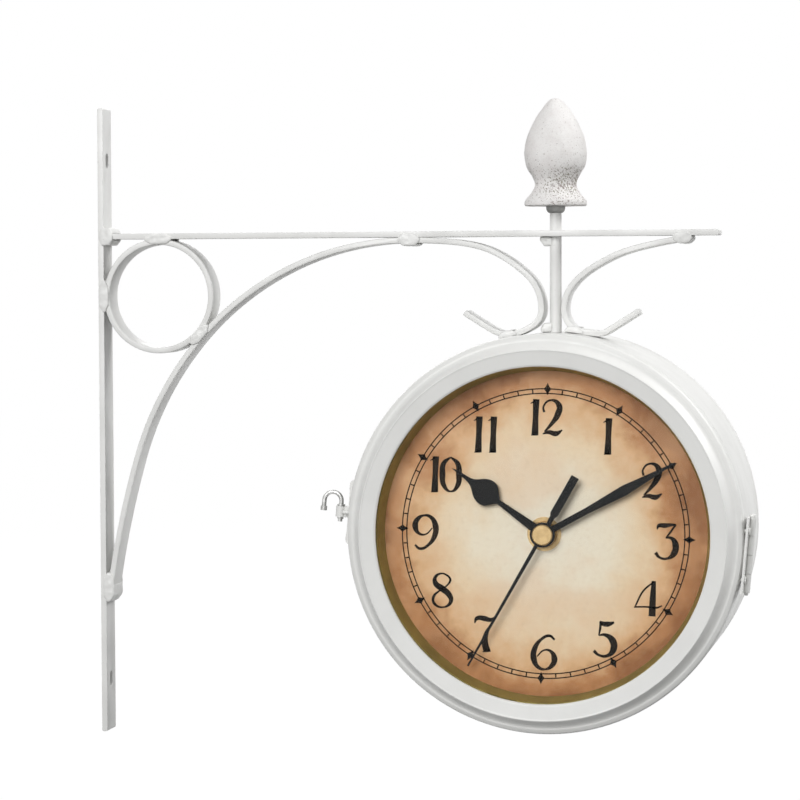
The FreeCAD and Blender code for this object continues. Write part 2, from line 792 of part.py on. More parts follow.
def make_rivets():
    radius = drum_radius.number
    head = leaf_middle().number + LEAF_THICK.number / 2
    inner = circle_rise(drum_radius - sheet_thick, LEAF_RIVET_UP + 1.6).number
    rows = {}
    for owner in ("drum", "door"):
        depth = LEAF_RIVET_DEPTH[owner]
        rows[owner] = [rivet(Vector(head + 0.02, -depth, up), Vector(-1, 0, 0), head + 0.12 - inner, 1.7)
                       for up in (-LEAF_RIVET_UP, LEAF_RIVET_UP)]
    outside = radius + LATCH_STAND
    inside = circle_rise(drum_radius - sheet_thick, LATCH_RIVET_UP + 1.6).number
    rows["drum"] += [rivet(Vector(-outside - 0.02, -LATCH_DEPTH, up), Vector(1, 0, 0),
                           outside + 0.12 - inside, 1.9) for up in (-LATCH_RIVET_UP, LATCH_RIVET_UP)]
    solid("drum_rivets", turned_line(Part.makeCompound(rows["drum"])))
    solid("door_rivets", turned_line(Part.makeCompound(rows["door"])))


LATCH_STAND = 2.6
LATCH_HALF = 16.5
EYE_REACH = 6.6
HOOK_WIRE = 1.15


def make_latch_plate():
    """A lug riveted to the drum's side, with an eye for the hook's upright shank."""
    body = new_body("latch_plate")
    outline = new_sketch(body, "XZ_Plane", "Outline", LATCH_DEPTH - 4)
    outside = -drum_radius - LATCH_STAND
    heel = -circle_rise(drum_radius + 0.2, LATCH_HALF)
    middle = -drum_radius - 0.2
    half = size(LATCH_HALF)
    draw_outline(outline, [(heel, -half), (outside + 1.0, -half), (outside, -half + 1.2), (outside, half - 1.2),
                           (outside + 1.0, half), (heel, half)])
    pad(body, outline, 8)
    room = new_sketch(body, "XZ_Plane", "DrumRoom", LATCH_DEPTH - 5)
    draw_circle(room, 0, 0, -middle)
    pocket(body, room, 10)
    eye = new_sketch(body, "XY_Plane", "Eye", -EYE_HALF)
    draw_circle(eye, -drum_radius - EYE_REACH, -HOOK_DEPTH, 2.5)
    pad(body, eye, EYE_HALF * 2)
    web = new_sketch(body, "XY_Plane", "EyeWeb", -EYE_HALF)
    draw_box(web, -drum_radius - 3.4, 0.4 - HOOK_DEPTH, 4.4, 3.2)
    pad(body, web, EYE_HALF * 2)
    bore = new_sketch(body, "XY_Plane", "EyeBore", -EYE_HALF - 1)
    draw_circle(bore, -drum_radius - EYE_REACH, -HOOK_DEPTH, HOOK_WIRE + 0.05)
    pocket(body, bore, EYE_HALF * 2 + 2)
    holes = new_sketch(body, "YZ_Plane", "RivetHoles", -drum_radius - LATCH_STAND - 1)
    for up in (-LATCH_RIVET_UP, LATCH_RIVET_UP):
        draw_circle(holes, -LATCH_DEPTH, up, RIVET_RADIUS + 0.1)
    pocket(body, holes, 8)
    finish(body, "latch_plate")
    place_on_drum(body, "front", driving("door_turn"))


EYE_HALF = 2.8
HOOK_DEPTH = 30.4
HOOK_REACH = 9.0


def make_latch_hook():
    """Round wire: a shank through the eye, bent over into a hook with a ball end."""
    top = EYE_HALF + 2.2
    leg_end = 0.8
    x = -(drum_radius.number + EYE_REACH)
    y = -HOOK_DEPTH
    arch = HOOK_REACH / 2
    shank = Part.makeCylinder(HOOK_WIRE, top + EYE_HALF + 2.4, Vector(x, y, -EYE_HALF - 2.4), UP)
    bend = Part.makeTorus(arch, HOOK_WIRE, Vector(0, 0, 0), UP, -180, 180, 180)
    bend.Placement = FreeCAD.Placement(Vector(x - arch, y, top), Rotation(Vector(1, 0, 0), 90))
    tip = Vector(x - HOOK_REACH, y, leg_end)
    leg = Part.makeCylinder(HOOK_WIRE, top - leg_end, tip, UP)
    collar = Part.makeCylinder(HOOK_WIRE + 0.9, 0.8, Vector(x, y, EYE_HALF + 0.15), UP)
    peened = Part.makeCylinder(HOOK_WIRE + 0.5, 0.7, Vector(x, y, -EYE_HALF - 1.0), UP)
    ball = Part.makeCylinder(HOOK_WIRE + 0.5, 2.2, tip - Vector(0, 0, 1.1), UP)
    solid("latch_hook", turned_line(shank.fuse([bend, leg, collar, peened, ball])))


# ---------------------------------------------------------------- hands

def make_hand(label, side, depth, hub_radius, bore, edge_points, curved, degrees):
    """A flat hand that points up, then turned to its place at rest."""
    body = new_body(label)
    blade = new_sketch(body, "XZ_Plane", "Blade", depth)
    left = [flat((-size(across), size(along))) for along, across in edge_points]
    right = [Vector(-point.x, point.y, 0) for point in reversed(left)]
    if curved:
        for side_points in (left, right):
            curve = Part.BSplineCurve()
            curve.interpolate(side_points)
            blade.addGeometry(curve, False)
        blade.addGeometry(Part.LineSegment(right[-1], left[0]), False)
        blade.addConstraint(Sketcher.Constraint("Coincident", 0, 2, 1, 1))
        blade.addConstraint(Sketcher.Constraint("Coincident", 1, 2, 2, 1))
        blade.addConstraint(Sketcher.Constraint("Coincident", 2, 2, 0, 1))
    else:
        draw_outline(blade, [(-size(across), along) for along, across in edge_points]
                     + [(across, along) for along, across in reversed(edge_points)])
    pad(body, blade, hand_thick)
    hub = new_sketch(body, "XZ_Plane", "Hub", depth)
    draw_circle(hub, 0, 0, hub_radius)
    pad(body, hub, hand_thick)
    if bore:
        hole = new_sketch(body, "XZ_Plane", "Bore", depth)
        draw_circle(hole, 0, 0, bore)
        pocket(body, hole, hand_thick)
    finish(body, label)
    place_on_drum(body, side, degrees)


def make_hands(side):
    hour = driving("hour_reach")
    make_hand(side + "_hour_hand", side, HOUR_DEPTH, 5.4, HOUR_TUBE + 0.01,
              [(hour * 0.05, 1.8), (hour * 0.3, 1.5), (hour * 0.49, 1.25), (hour * 0.53, 3.4), (hour * 0.585, 6.3),
               (hour * 0.65, 6.6), (hour * 0.715, 4.9), (hour * 0.78, 2.0), (hour * 0.86, 0.95), (hour, 0.3)],
              True, driving("hour_angle"))
    minute = driving("minute_reach")
    make_hand(side + "_minute_hand", side, MINUTE_DEPTH, 5.4, MINUTE_TUBE + 0.01,
              [(minute * 0.04, 1.6), (minute * 0.34, 1.6), (minute * 0.62, 2.6), (minute, 0.3)],
              False, driving("minute_angle"))
    second = driving("second_reach")
    make_hand(side + "_second_hand", side, SECOND_DEPTH, 6.3, SECOND_PIN + 0.01,
              [(-driving("tail_reach"), 2.05), (size(-12.0), 2.05), (size(-10.5), 1.3), (size(0), 1.0),
               (second, 0.5)],
              False, driving("second_angle"))
    cap_back = SECOND_DEPTH + hand_thick
    cap = turned(side + "_hand_cap", [(size(0), cap_back), (size(0), cap_back + 1.0), (size(4.7), cap_back + 1.0),
                                      (size(5.2), cap_back + 0.5), (size(5.2), cap_back)])
    finish(cap, side + "_hand_cap")
    place_on_drum(cap, side)


HOUR_TUBE = 2.5
MINUTE_TUBE = 1.5
SECOND_PIN = 0.5
HOUR_DEPTH = dial_face + 3.1
MINUTE_DEPTH = dial_face + 4.5
SECOND_DEPTH = dial_face + 5.9


# ---------------------------------------------------------------- movement

CASE_TOP = 20.0
CASE_WALL = 1.2
BUSHING = 4.0
ARBOR_RADIUS = 0.7
MOTION_ANGLE = 45.0
KNOB_ANGLE = -20.0
PINION_TEETH = 10
MOTION_WHEEL_TEETH = 30
MOTION_PINION_TEETH = 8
HOUR_WHEEL_TEETH = 32
SECOND_WHEEL_TEETH = 24
GEAR_FACE = 1.2
BACKLASH = 0.12
ROOT_SPREAD = 0.25
SMALL_PINION = 20                        # below this many teeth the flanks are drawn curved

gear_distance = tooth_module * ((PINION_TEETH + MOTION_WHEEL_TEETH) / 2)
hour_layer = dial_back - CASE_WALL - 1.8
minute_layer = hour_layer - 1.8
second_layer = minute_layer - 5.0
case_back = dial_back - driving("case_depth")
battery_level = size(-27.4)


def motion_centre():
    return at_angle(gear_distance, MOTION_ANGLE, "cos"), at_angle(gear_distance, MOTION_ANGLE, "sin")


def knob_centre():
    x, z = motion_centre()
    return x + at_angle(gear_distance, KNOB_ANGLE, "cos"), z + at_angle(gear_distance, KNOB_ANGLE, "sin")


def involute(base_radius, radius):
    """Polar angle of the involute of a base circle at a radius."""
    if radius <= base_radius:
        return 0.0
    slope = math.sqrt((radius / base_radius) ** 2 - 1)
    return slope - math.atan(slope)


def gear_points(teeth, module, phase):
    """Outline of a spur gear with 20 degree teeth, one of them pointing at phase degrees."""
    pitch_radius = teeth * module / 2
    base_radius = pitch_radius * math.cos(math.radians(20))
    root = pitch_radius - 1.2 * module
    tip = pitch_radius + 0.85 * module
    half_tooth = math.pi / (2 * teeth) - BACKLASH / (4 * pitch_radius)
    flank = [max(base_radius, root), pitch_radius, tip] if teeth < SMALL_PINION else [root, tip]
    points = []
    for tooth in range(teeth):
        middle = math.radians(phase) + 2 * math.pi * tooth / teeth
        side = [(radius, half_tooth + involute(base_radius, pitch_radius) - involute(base_radius, radius))
                for radius in flank]
        if teeth < SMALL_PINION:
            side.insert(0, (root, side[0][1] + ROOT_SPREAD / teeth))
        spots = [(radius, middle - angle) for radius, angle in side]
        spots += [(radius, middle + angle) for radius, angle in reversed(side)]
        points += [Vector(radius * math.cos(angle), 0, radius * math.sin(angle)) for radius, angle in spots]
    return points


def gear(teeth, module, phase, depth, bore=0.0, face=GEAR_FACE):
    """A spur gear about the drum's axis, from a depth towards the front."""
    points = gear_points(teeth, size(module).number, phase)
    outline = Part.Face(Part.makePolygon(points + points[:1]))
    blank = outline.extrude(Vector(0, -face, 0))
    blank.translate(Vector(0, -size(depth).number, 0))
    if bore:
        blank = blank.cut(rod(bore, size(depth).number - 1, size(depth).number + face + 1))
    return blank


def rod(radius, depth_from, depth_to, x=0.0, z=0.0):
    """A round bar along the drum's axis between two depths."""
    start, stop = size(depth_from).number, size(depth_to).number
    return Part.makeCylinder(radius, stop - start, Vector(x, -start, z), Vector(0, -1, 0))


def polygon_rod(radius, sides, depth_from, depth_to):
    """A many-sided bar about the drum's axis."""
    start, stop = size(depth_from).number, size(depth_to).number
    corners = [Vector(radius * math.cos(2 * math.pi * side / sides), -start,
                      radius * math.sin(2 * math.pi * side / sides)) for side in range(sides)]
    return Part.Face(Part.makePolygon(corners + corners[:1])).extrude(Vector(0, start - stop, 0))


def movement_piece(label, side, shape, x=0, z=0):
    piece = solid(label, shape)
    place_on_drum(piece, side, 0, x, z)


def make_motion_work(side):
    """Hour wheel, cannon pinion, motion wheel, second wheel and the setting knob."""
    hour_angle = MOTION_ANGLE
    hour = gear(HOUR_WHEEL_TEETH, tooth_module, hour_angle + 180 / HOUR_WHEEL_TEETH, hour_layer)
    hour = hour.fuse(rod(HOUR_TUBE, hour_layer, HOUR_DEPTH + hand_thick + 0.2))
    hour = hour.cut(rod(MINUTE_TUBE + 0.05, hour_layer - 1, MINUTE_DEPTH))
    movement_piece(side + "_hour_wheel", side, hour)

    cannon = gear(PINION_TEETH, tooth_module, MOTION_ANGLE, minute_layer)
    cannon = cannon.fuse(rod(MINUTE_TUBE, minute_layer - 1.6, MINUTE_DEPTH + hand_thick + 0.2))
    cannon = cannon.cut(rod(SECOND_PIN + 0.05, minute_layer - 3, SECOND_DEPTH))
    movement_piece(side + "_cannon_pinion", side, cannon)

    x, z = motion_centre()
    half_pitch = 180 / MOTION_WHEEL_TEETH
    motion = gear(MOTION_WHEEL_TEETH, tooth_module, MOTION_ANGLE + 180 + half_pitch, minute_layer)
    pinion = gear(MOTION_PINION_TEETH, tooth_module, MOTION_ANGLE + 180, hour_layer)
    arbor = rod(ARBOR_RADIUS, case_back + CASE_WALL + 0.6, dial_back - CASE_WALL - 0.2)
    motion = motion.fuse([pinion, arbor, rod(ARBOR_RADIUS + 0.4, minute_layer, hour_layer)])
    movement_piece(side + "_motion_wheel", side, motion, x, z)

    x, z = knob_centre()
    wheel_step = 360 / MOTION_WHEEL_TEETH
    wheel_phase = MOTION_ANGLE + 180 + half_pitch
    tooth_at_knob = (KNOB_ANGLE - wheel_phase) / wheel_step
    lead = (tooth_at_knob - round(tooth_at_knob)) * wheel_step
    pinion_phase = KNOB_ANGLE + 180 + 180 / PINION_TEETH + lead * MOTION_WHEEL_TEETH / PINION_TEETH
    knob = gear(PINION_TEETH, tooth_module, pinion_phase, minute_layer)
    knob = knob.fuse(rod(1.2, case_back - 1.0, minute_layer + GEAR_FACE + 0.6))
    head = polygon_rod(KNOB_RADIUS, KNOB_SIDES, case_back - 3.6, case_back - 0.6)
    movement_piece(side + "_setting_knob", side, knob.fuse(head), x, z)

    second = gear(SECOND_WHEEL_TEETH, tooth_module, 0, second_layer, face=0.8)
    second = second.fuse(rod(SECOND_PIN, second_layer - 1.5, SECOND_DEPTH + hand_thick))
    movement_piece(side + "_second_wheel", side, second)


KNOB_RADIUS = 4.5
KNOB_SIDES = 18


def make_case(side):
    """The front half of the movement: a tray with the threaded bushing."""
    body = new_body(side + "_movement_case")
    middle = size(CASE_TOP) - case_width / 2
    cover_face = case_back + CASE_WALL
    block = new_sketch(body, "XZ_Plane", "Block", cover_face)
    draw_box(block, 0, middle, case_width, case_width)
    pad(body, block, dial_back - cover_face)
    dressed(body, "Fillet", 3, lambda edge: edge.BoundBox.YLength > 5)
    floor = dial_back - CASE_WALL
    wheels = new_sketch(body, "XZ_Plane", "WheelRoom", cover_face)
    inner = case_width / 2 - CASE_WALL
    wall = battery_level + driving("battery_radius") + 0.5
    draw_outline(wheels, [(-inner, wall + CASE_WALL), (inner, wall + CASE_WALL),
                          (inner, size(CASE_TOP - CASE_WALL)), (-inner, size(CASE_TOP - CASE_WALL))])
    pocket(body, wheels, floor - cover_face)
    bay = new_sketch(body, "XZ_Plane", "BatteryRoom", cover_face)
    draw_outline(bay, [(-inner, size(CASE_TOP) - case_width + CASE_WALL),
                       (inner, size(CASE_TOP) - case_width + CASE_WALL), (inner, wall), (-inner, wall)])
    pocket(body, bay, driving("battery_radius") * 2 + 0.3)
    neck = new_sketch(body, "XZ_Plane", "Bushing", dial_back)
    draw_circle(neck, 0, 0, BUSHING)
    pad(body, neck, dial_thick + 2.2)
    bore = new_sketch(body, "XZ_Plane", "Bore", floor - 1)
    draw_circle(bore, 0, 0, HOUR_TUBE + 0.06)
    pocket(body, bore, dial_thick + 5)
    finish(body, side + "_movement_case")
    place_on_drum(body, side)


def make_cover(side):
    """The back half: a lid with the battery's opening and the bearing for the motion wheel."""
    body = new_body(side + "_movement_cover")
    middle = size(CASE_TOP) - case_width / 2
    lid = new_sketch(body, "XZ_Plane", "Lid", case_back)
    draw_box(lid, 0, middle, case_width, case_width)
    pad(body, lid, CASE_WALL)
    dressed(body, "Fillet", 3, lambda edge: abs(edge.BoundBox.YLength - CASE_WALL) < 0.01)
    opening = new_sketch(body, "XZ_Plane", "BatteryOpening", case_back)
    draw_box(opening, 0, battery_level, driving("battery_length") + 3.4, driving("battery_radius") * 2 + 0.6)
    pocket(body, opening, CASE_WALL)
    hole = new_sketch(body, "XZ_Plane", "KnobHole", case_back)
    draw_circle(hole, *knob_centre(), 1.3)
    pocket(body, hole, CASE_WALL)
    post = new_sketch(body, "XZ_Plane", "Bearing", case_back + CASE_WALL)
    draw_circle(post, *motion_centre(), 2.0)
    draw_circle(post, *motion_centre(), ARBOR_RADIUS + 0.05)
    pad(body, post, 3.0)
    finish(body, side + "_movement_cover")
    place_on_drum(body, side)


def make_battery(side):
    """One cell, lying across the movement, with its raised cap."""
    radius = driving("battery_radius")
    length = driving("battery_length")
    body = new_body(side + "_battery")
    cell = new_sketch(body, "YZ_Plane", "Cell", -length / 2)
    depth = case_back + radius + 0.5
    draw_circle(cell, -depth, battery_level, radius)
    pad(body, cell, length - 1.6)
    cap = new_sketch(body, "YZ_Plane", "Cap", length / 2 - 1.6)
    draw_circle(cap, -depth, battery_level, 2.75)
    pad(body, cap, 1.6)
    finish(body, side + "_battery")
    place_on_drum(body, side)


def make_contacts(side):
    """The flat and the sprung contact at the battery's ends."""
    reach = driving("battery_length").number / 2
    depth = (case_back + driving("battery_radius") + 0.5).number
    level = battery_level.number
    flat_plate = Part.makeBox(0.4, 8, 8, Vector(reach + 0.2, -depth - 4, level - 4))
    back_plate = Part.makeBox(0.4, 8, 8, Vector(-reach - 1.6, -depth - 4, level - 4))
    spring = Part.makeCone(3.4, 2.2, 1.1, Vector(-reach - 1.25, -depth, level), Vector(1, 0, 0))
    spring = spring.cut(Part.makeCone(2.8, 1.6, 1.1, Vector(-reach - 1.25, -depth, level), Vector(1, 0, 0)))
    movement_piece(side + "_contacts", side, Part.makeCompound([flat_plate, back_plate.fuse(spring)]))


def make_motor(side):
    """Circuit board, coil on its bobbin and the stator plate beside the wheels."""
    board_depth = (case_back + CASE_WALL + 0.3).number
    board = Part.makeBox(13, 1.0, 26, Vector(-26, -board_depth - 1.0, -9))
    chip = Part.makeBox(5, 1.0, 5, Vector(-23, -board_depth - 2.0, -7))
    coil_depth = board_depth + 5.4
    middle = Vector(-19.5, -coil_depth, -1)
    coil = Part.makeCylinder(2.9, 14, middle, UP)
    for level in (-0.8, 14):
        coil = coil.fuse(Part.makeBox(7, 7, 0.8, Vector(-23, -coil_depth - 3.5, -1 + level)))
    stator = Part.makeBox(12, 0.8, 3.2, Vector(-24, -coil_depth - 4.4, 12.0))
    movement_piece(side + "_motor", side, Part.makeCompound([board.fuse(chip), coil, stator]))


def make_fixing_nut(side):
    """The flanged round nut on the bushing, in front of the dial."""
    nut = turned(side + "_fixing_nut", [(size(BUSHING + 0.05), dial_face), (size(8.5), dial_face),
                                        (size(8.5), dial_face + 0.6), (size(6.6), dial_face + 0.6),
                                        (size(6.2), dial_face + 2.3), (size(BUSHING + 0.05), dial_face + 2.3)])
    finish(nut, side + "_fixing_nut")
    place_on_drum(nut, side)


# ---------------------------------------------------------------- assembly

make_wall_bar()
make_support_arm()
make_bracket_ring()
make_strips()
make_stem()
make_finial()
make_finial_nut()
make_weld_beads()
make_drum_shell()
make_bezel("front_bezel", "front")
make_bezel("rear_bezel", "rear")
make_hinge_leaf("drum_hinge_leaf", "drum")
make_hinge_leaf("door_hinge_leaf", "door")
make_hinge_pin()
make_rivets()
make_latch_plate()
make_latch_hook()
for facing_side in ("front", "rear"):
    make_face_stack(facing_side)
    make_hands(facing_side)
    make_motion_work(facing_side)
    make_case(facing_side)
    make_cover(facing_side)
    make_battery(facing_side)
    make_contacts(facing_side)
    make_motor(facing_side)
    make_fixing_nut(facing_side)

doc.recompute()
for item in doc.Objects:
    if "Invalid" in item.State or "Error" in item.State:
        raise RuntimeError("%s did not rebuild: %s" % (item.Label, item.State))
os.makedirs("parts", exist_ok=True)
for piece in bodies:
    shape = piece.Shape
    if shape.isNull() or not shape.isValid() or not shape.Solids:
        raise RuntimeError(piece.Label + " has no valid solid")
    shape.exportStep("parts/" + piece.Label + ".step")
    print("%-26s %2d solid %10.1f mm3" % (piece.Label, len(shape.Solids), shape.Volume))
print(len(bodies), "sub-parts")
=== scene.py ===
# %% [markdown]
# # A double sided station clock on its wall bracket
#
# The clock hangs from a bracket of flat painted strip. The measured model brings every part at its true
# size and place. This lesson gives those parts their finishes, and models again what needs more form than
# the measured model has: pressed bezels, a rough cast finial, strips with round edges, lumps of weld,
# straight hour hands and the print on both dials.

# %% Load the measured model
import math

import bpy
from mathutils import Matrix, Vector


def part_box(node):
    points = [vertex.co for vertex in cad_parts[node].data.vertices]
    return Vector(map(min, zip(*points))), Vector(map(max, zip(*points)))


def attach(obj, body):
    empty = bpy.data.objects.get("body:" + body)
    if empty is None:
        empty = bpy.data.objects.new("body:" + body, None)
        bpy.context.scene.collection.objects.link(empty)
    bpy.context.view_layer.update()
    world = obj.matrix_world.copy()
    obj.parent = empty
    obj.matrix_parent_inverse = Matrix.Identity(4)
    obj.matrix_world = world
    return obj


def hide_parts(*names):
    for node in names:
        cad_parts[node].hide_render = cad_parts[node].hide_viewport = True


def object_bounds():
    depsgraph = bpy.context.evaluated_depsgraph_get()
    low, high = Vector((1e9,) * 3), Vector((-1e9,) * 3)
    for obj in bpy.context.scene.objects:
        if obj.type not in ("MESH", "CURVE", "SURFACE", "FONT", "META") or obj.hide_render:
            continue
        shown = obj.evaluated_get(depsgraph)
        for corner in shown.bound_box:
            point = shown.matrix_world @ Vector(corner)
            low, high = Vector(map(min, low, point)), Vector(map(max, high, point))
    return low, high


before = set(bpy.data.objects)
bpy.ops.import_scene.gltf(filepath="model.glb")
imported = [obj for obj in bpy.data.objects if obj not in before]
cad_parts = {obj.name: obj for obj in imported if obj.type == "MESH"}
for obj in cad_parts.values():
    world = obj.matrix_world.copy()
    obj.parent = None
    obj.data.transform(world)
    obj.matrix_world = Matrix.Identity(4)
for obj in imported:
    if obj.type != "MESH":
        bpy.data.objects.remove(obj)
model_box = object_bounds()

# %% [markdown]
# ## Places to work from
#
# All sizes are in metres, so a millimetre gets a name of its own. The drum's middle and radius are read
# from the measured drum, because both bezels, both dials and the hinge are set out around them.

# %% Name the places that the pieces share
MM = 0.001
shell_low, shell_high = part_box("drum_shell")
DRUM = Vector(((shell_low.x + shell_high.x) / 2, 0, (shell_low.z + shell_high.z) / 2))
DRUM_RADIUS = (shell_high.x - shell_low.x) / 2
SHELL_EDGE = shell_high.y
RIDGE_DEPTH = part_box("rear_bezel")[1].y
DIAL_FACE = -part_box("front_dial")[0].y
FINIAL_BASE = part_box("finial")[0].z
print("drum middle", tuple(round(v, 4) for v in DRUM), "radius", round(DRUM_RADIUS, 4))

# %% [markdown]
# ## Shader sums that read like sums
#
# A finish is a sum of masks and noises. One small class wraps a socket, so that `mask * 0.5 + noise` adds
# the Math nodes by itself. Every other node comes from one method, `node`, which sets a node's own settings
# first and then its sockets.

# %% A socket that can be added and multiplied
class Signal:
    def __init__(self, finish, socket):
        self.finish = finish
        self.socket = socket

    def math(self, operation, first, second):
        return self.finish.node("ShaderNodeMath", {"operation": operation}, {0: first, 1: second})

    def __add__(self, other):
        return self.math("ADD", self, other)

    def __radd__(self, other):
        return self.math("ADD", other, self)

    def __sub__(self, other):
        return self.math("SUBTRACT", self, other)

    def __rsub__(self, other):
        return self.math("SUBTRACT", other, self)

    def __mul__(self, other):
        return self.math("MULTIPLY", self, other)

    def __rmul__(self, other):
        return self.math("MULTIPLY", other, self)

    def __truediv__(self, other):
        return self.math("DIVIDE", self, other)


# %% A finish, its nodes and the patterns it can call on
class Finish:
    def __init__(self, name):
        self.material = bpy.data.materials.new(name)
        self.material.use_nodes = True
        self.tree = self.material.node_tree
        self.tree.nodes.clear()
        self.output = self.tree.nodes.new("ShaderNodeOutputMaterial")
        self.place = self.node("ShaderNodeTexCoord", {}, {}, out="Object")

    def node(self, kind, settings, sockets, out=0):
        made = self.tree.nodes.new(kind)
        for name, value in settings.items():
            if name == "stops":
                ramp = made.color_ramp.elements
                while len(ramp) < len(value):
                    ramp.new(1.0)
                for stop, (position, colour) in zip(ramp, value):
                    stop.position = position
                    stop.color = (*colour, 1)
            else:
                setattr(made, name, value)
        for name, value in sockets.items():
            if isinstance(value, Signal):
                self.tree.links.new(value.socket, made.inputs[name])
            else:
                made.inputs[name].default_value = value
        return Signal(self, made.outputs[out])

    def noise(self, size, detail=3, roughness=0.55, stretch=None):
        """Cloudy noise whose lumps are about `size` metres across."""
        place = self.place
        if stretch:
            place = self.node("ShaderNodeMapping", {}, {"Vector": place, "Scale": stretch})
        return self.node("ShaderNodeTexNoise", {}, {"Vector": place, "Scale": 1 / size, "Detail": detail,
                                                    "Roughness": roughness})

    def cells(self, size):
        """Flat cells about `size` metres across, each of its own colour."""
        return self.node("ShaderNodeTexVoronoi", {}, {"Vector": self.place, "Scale": 1 / size}, out="Color")

    def between(self, value, low, high, start=0.0, stop=1.0):
        """Goes smoothly from start to stop while the value goes from low to high."""
        return self.node("ShaderNodeMapRange", {"interpolation_type": "SMOOTHSTEP"},
                         {"Value": value, "From Min": low, "From Max": high, "To Min": start, "To Max": stop})

    def colours(self, share, first, second):
        """Mixes two colours, each a tuple or another signal. They are sockets 6 and 7 of the node."""
        values = {name: (*value, 1) if isinstance(value, tuple) else value
                  for name, value in ((6, first), (7, second))}
        values[0] = share
        return self.node("ShaderNodeMix", {"data_type": "RGBA", "clamp_factor": True}, values, out=2)

    def bump(self, height, depth):
        """Relief: `depth` metres between height 0 and height 1."""
        return self.node("ShaderNodeBump", {}, {"Height": height, "Distance": depth})

    def surface(self, **sockets):
        values = {}
        for name, value in sockets.items():
            label = name.replace("_", " ").title().replace("Ior", "IOR")
            values[label] = (*value, 1) if isinstance(value, tuple) else value
        shader = self.node("ShaderNodeBsdfPrincipled", {}, values)
        self.tree.links.new(shader.socket, self.output.inputs["Surface"])
        return shader


finishes = {}
print("the shader helpers are ready")

# %% [markdown]
# ## White paint on steel
#
# Bracket and case are sprayed a cool off-white. On the real thing the coat is thin: it shows a fine orange
# peel, soft cloudy patches where it is thicker, and small grey marks where the strips were handled. Three
# noises of different size make those three layers. The case is the same paint over a smooth pressing, with
# fewer marks.

# %% Mix the two white paints
def white_paint(name, colour, shade, mark_share, peel):
    paint = Finish(name)
    patches = paint.noise(22 * MM, 4)
    fine = paint.noise(1.1 * MM, 2)
    marks = paint.between(paint.noise(5 * MM, 6, 0.7), 0.64, 0.74) * mark_share
    base = paint.colours(paint.between(patches, 0.35, 0.7), colour, shade)
    worn = paint.colours(marks, base, (0.40, 0.39, 0.37))
    relief = fine * 0.6 + patches * 0.4
    paint.surface(base_color=worn, roughness=paint.between(patches, 0.3, 0.7, 0.34, 0.48) + marks * 0.2,
                  normal=paint.bump(relief, peel))
    finishes[name] = paint.material


white_paint("bracket_paint", (0.79, 0.79, 0.775), (0.73, 0.73, 0.715), 0.4, 0.04 * MM)
white_paint("case_paint", (0.79, 0.79, 0.77), (0.755, 0.755, 0.735), 0.12, 0.035 * MM)
print("paints:", sorted(finishes))

# %% [markdown]
# ## The finial's sandy coat
#
# The finial is a rough casting under thin white paint. Sand in the coat gives a grainy skin, and the bare
# casting shows through as small pinkish grey specks. The specks are packed more thickly round its waist and
# on its right side as painted shade, where the underside of the bulb and the side away from the key lamp fall
# dark. A mask made from height and side says where the specks crowd, and small cells make the specks
# themselves.

# %% Mix the finial's coat
WAIST_LEVEL = FINIAL_BASE + 11 * MM


def sandy_coat():
    coat = Finish("finial_paint")
    sides = coat.node("ShaderNodeSeparateXYZ", {}, {"Vector": coat.place}, out="X")
    height = coat.node("ShaderNodeSeparateXYZ", {}, {"Vector": coat.place}, out="Z")
    # Painted shade: the specks crowd at the waist, under the bulb and on the right side, away from the key
    # lamp. A little random scatter is added on top.
    low = coat.between(height, WAIST_LEVEL - 7 * MM, WAIST_LEVEL, 0.6, 1) * coat.between(
        height, WAIST_LEVEL - 1 * MM, WAIST_LEVEL + 16 * MM, 1, 0)
    right = coat.between(sides, DRUM.x - 12 * MM, DRUM.x + 7 * MM, 0.3, 1)
    crowd_in_painted_shade = low * right + coat.noise(9 * MM, 2) * 0.22
    grain = coat.noise(0.7 * MM, 5, 0.75)
    speck = coat.between(coat.noise(0.85 * MM, 3, 0.6) + crowd_in_painted_shade * 0.17, 0.66, 0.74)
    tint = coat.colours(coat.between(coat.noise(4 * MM), 0.4, 0.6), (0.27, 0.21, 0.20), (0.25, 0.22, 0.15))
    white = coat.colours(coat.between(coat.noise(7 * MM), 0.4, 0.7), (0.90, 0.885, 0.87), (0.85, 0.825, 0.81))
    dusty = coat.colours(coat.between(grain, 0.45, 0.72) * 0.3, white, (0.62, 0.57, 0.55))
    coat.surface(base_color=coat.colours(speck * 0.85, dusty, tint), roughness=0.85,
                 normal=coat.bump(grain - speck * 0.4, 0.35 * MM))
    finishes["finial_paint"] = coat.material


sandy_coat()
print("the specks crowd at", round(WAIST_LEVEL, 4))

# %% [markdown]
# ## Bare metals
#
# Bare metal differs in three things: its colour, how clean its polish is, and the way its marks run. One
# function takes those three. Turned brass has fine rings, wire has long drawn streaks, and galvanised steel
# has flat grey crystals.

# %% Mix the metals
def bare_metal(name, colour, dull, roughness, size, metallic=1.0, depth=0.02 * MM, stretch=None):
    metal = Finish(name)
    marks = metal.noise(size, 4, 0.6, stretch=stretch)
    stain = metal.noise(size * 9, 3)
    crystals = metal.cells(size * 3)
    share = metal.between(stain, 0.35, 0.7) * 0.7 + metal.between(crystals, 0.2, 0.9) * 0.3
    metal.surface(base_color=metal.colours(share, colour, dull), metallic=metallic,
                  roughness=roughness + marks * 0.18, normal=metal.bump(marks, depth))
    finishes[name] = metal.material


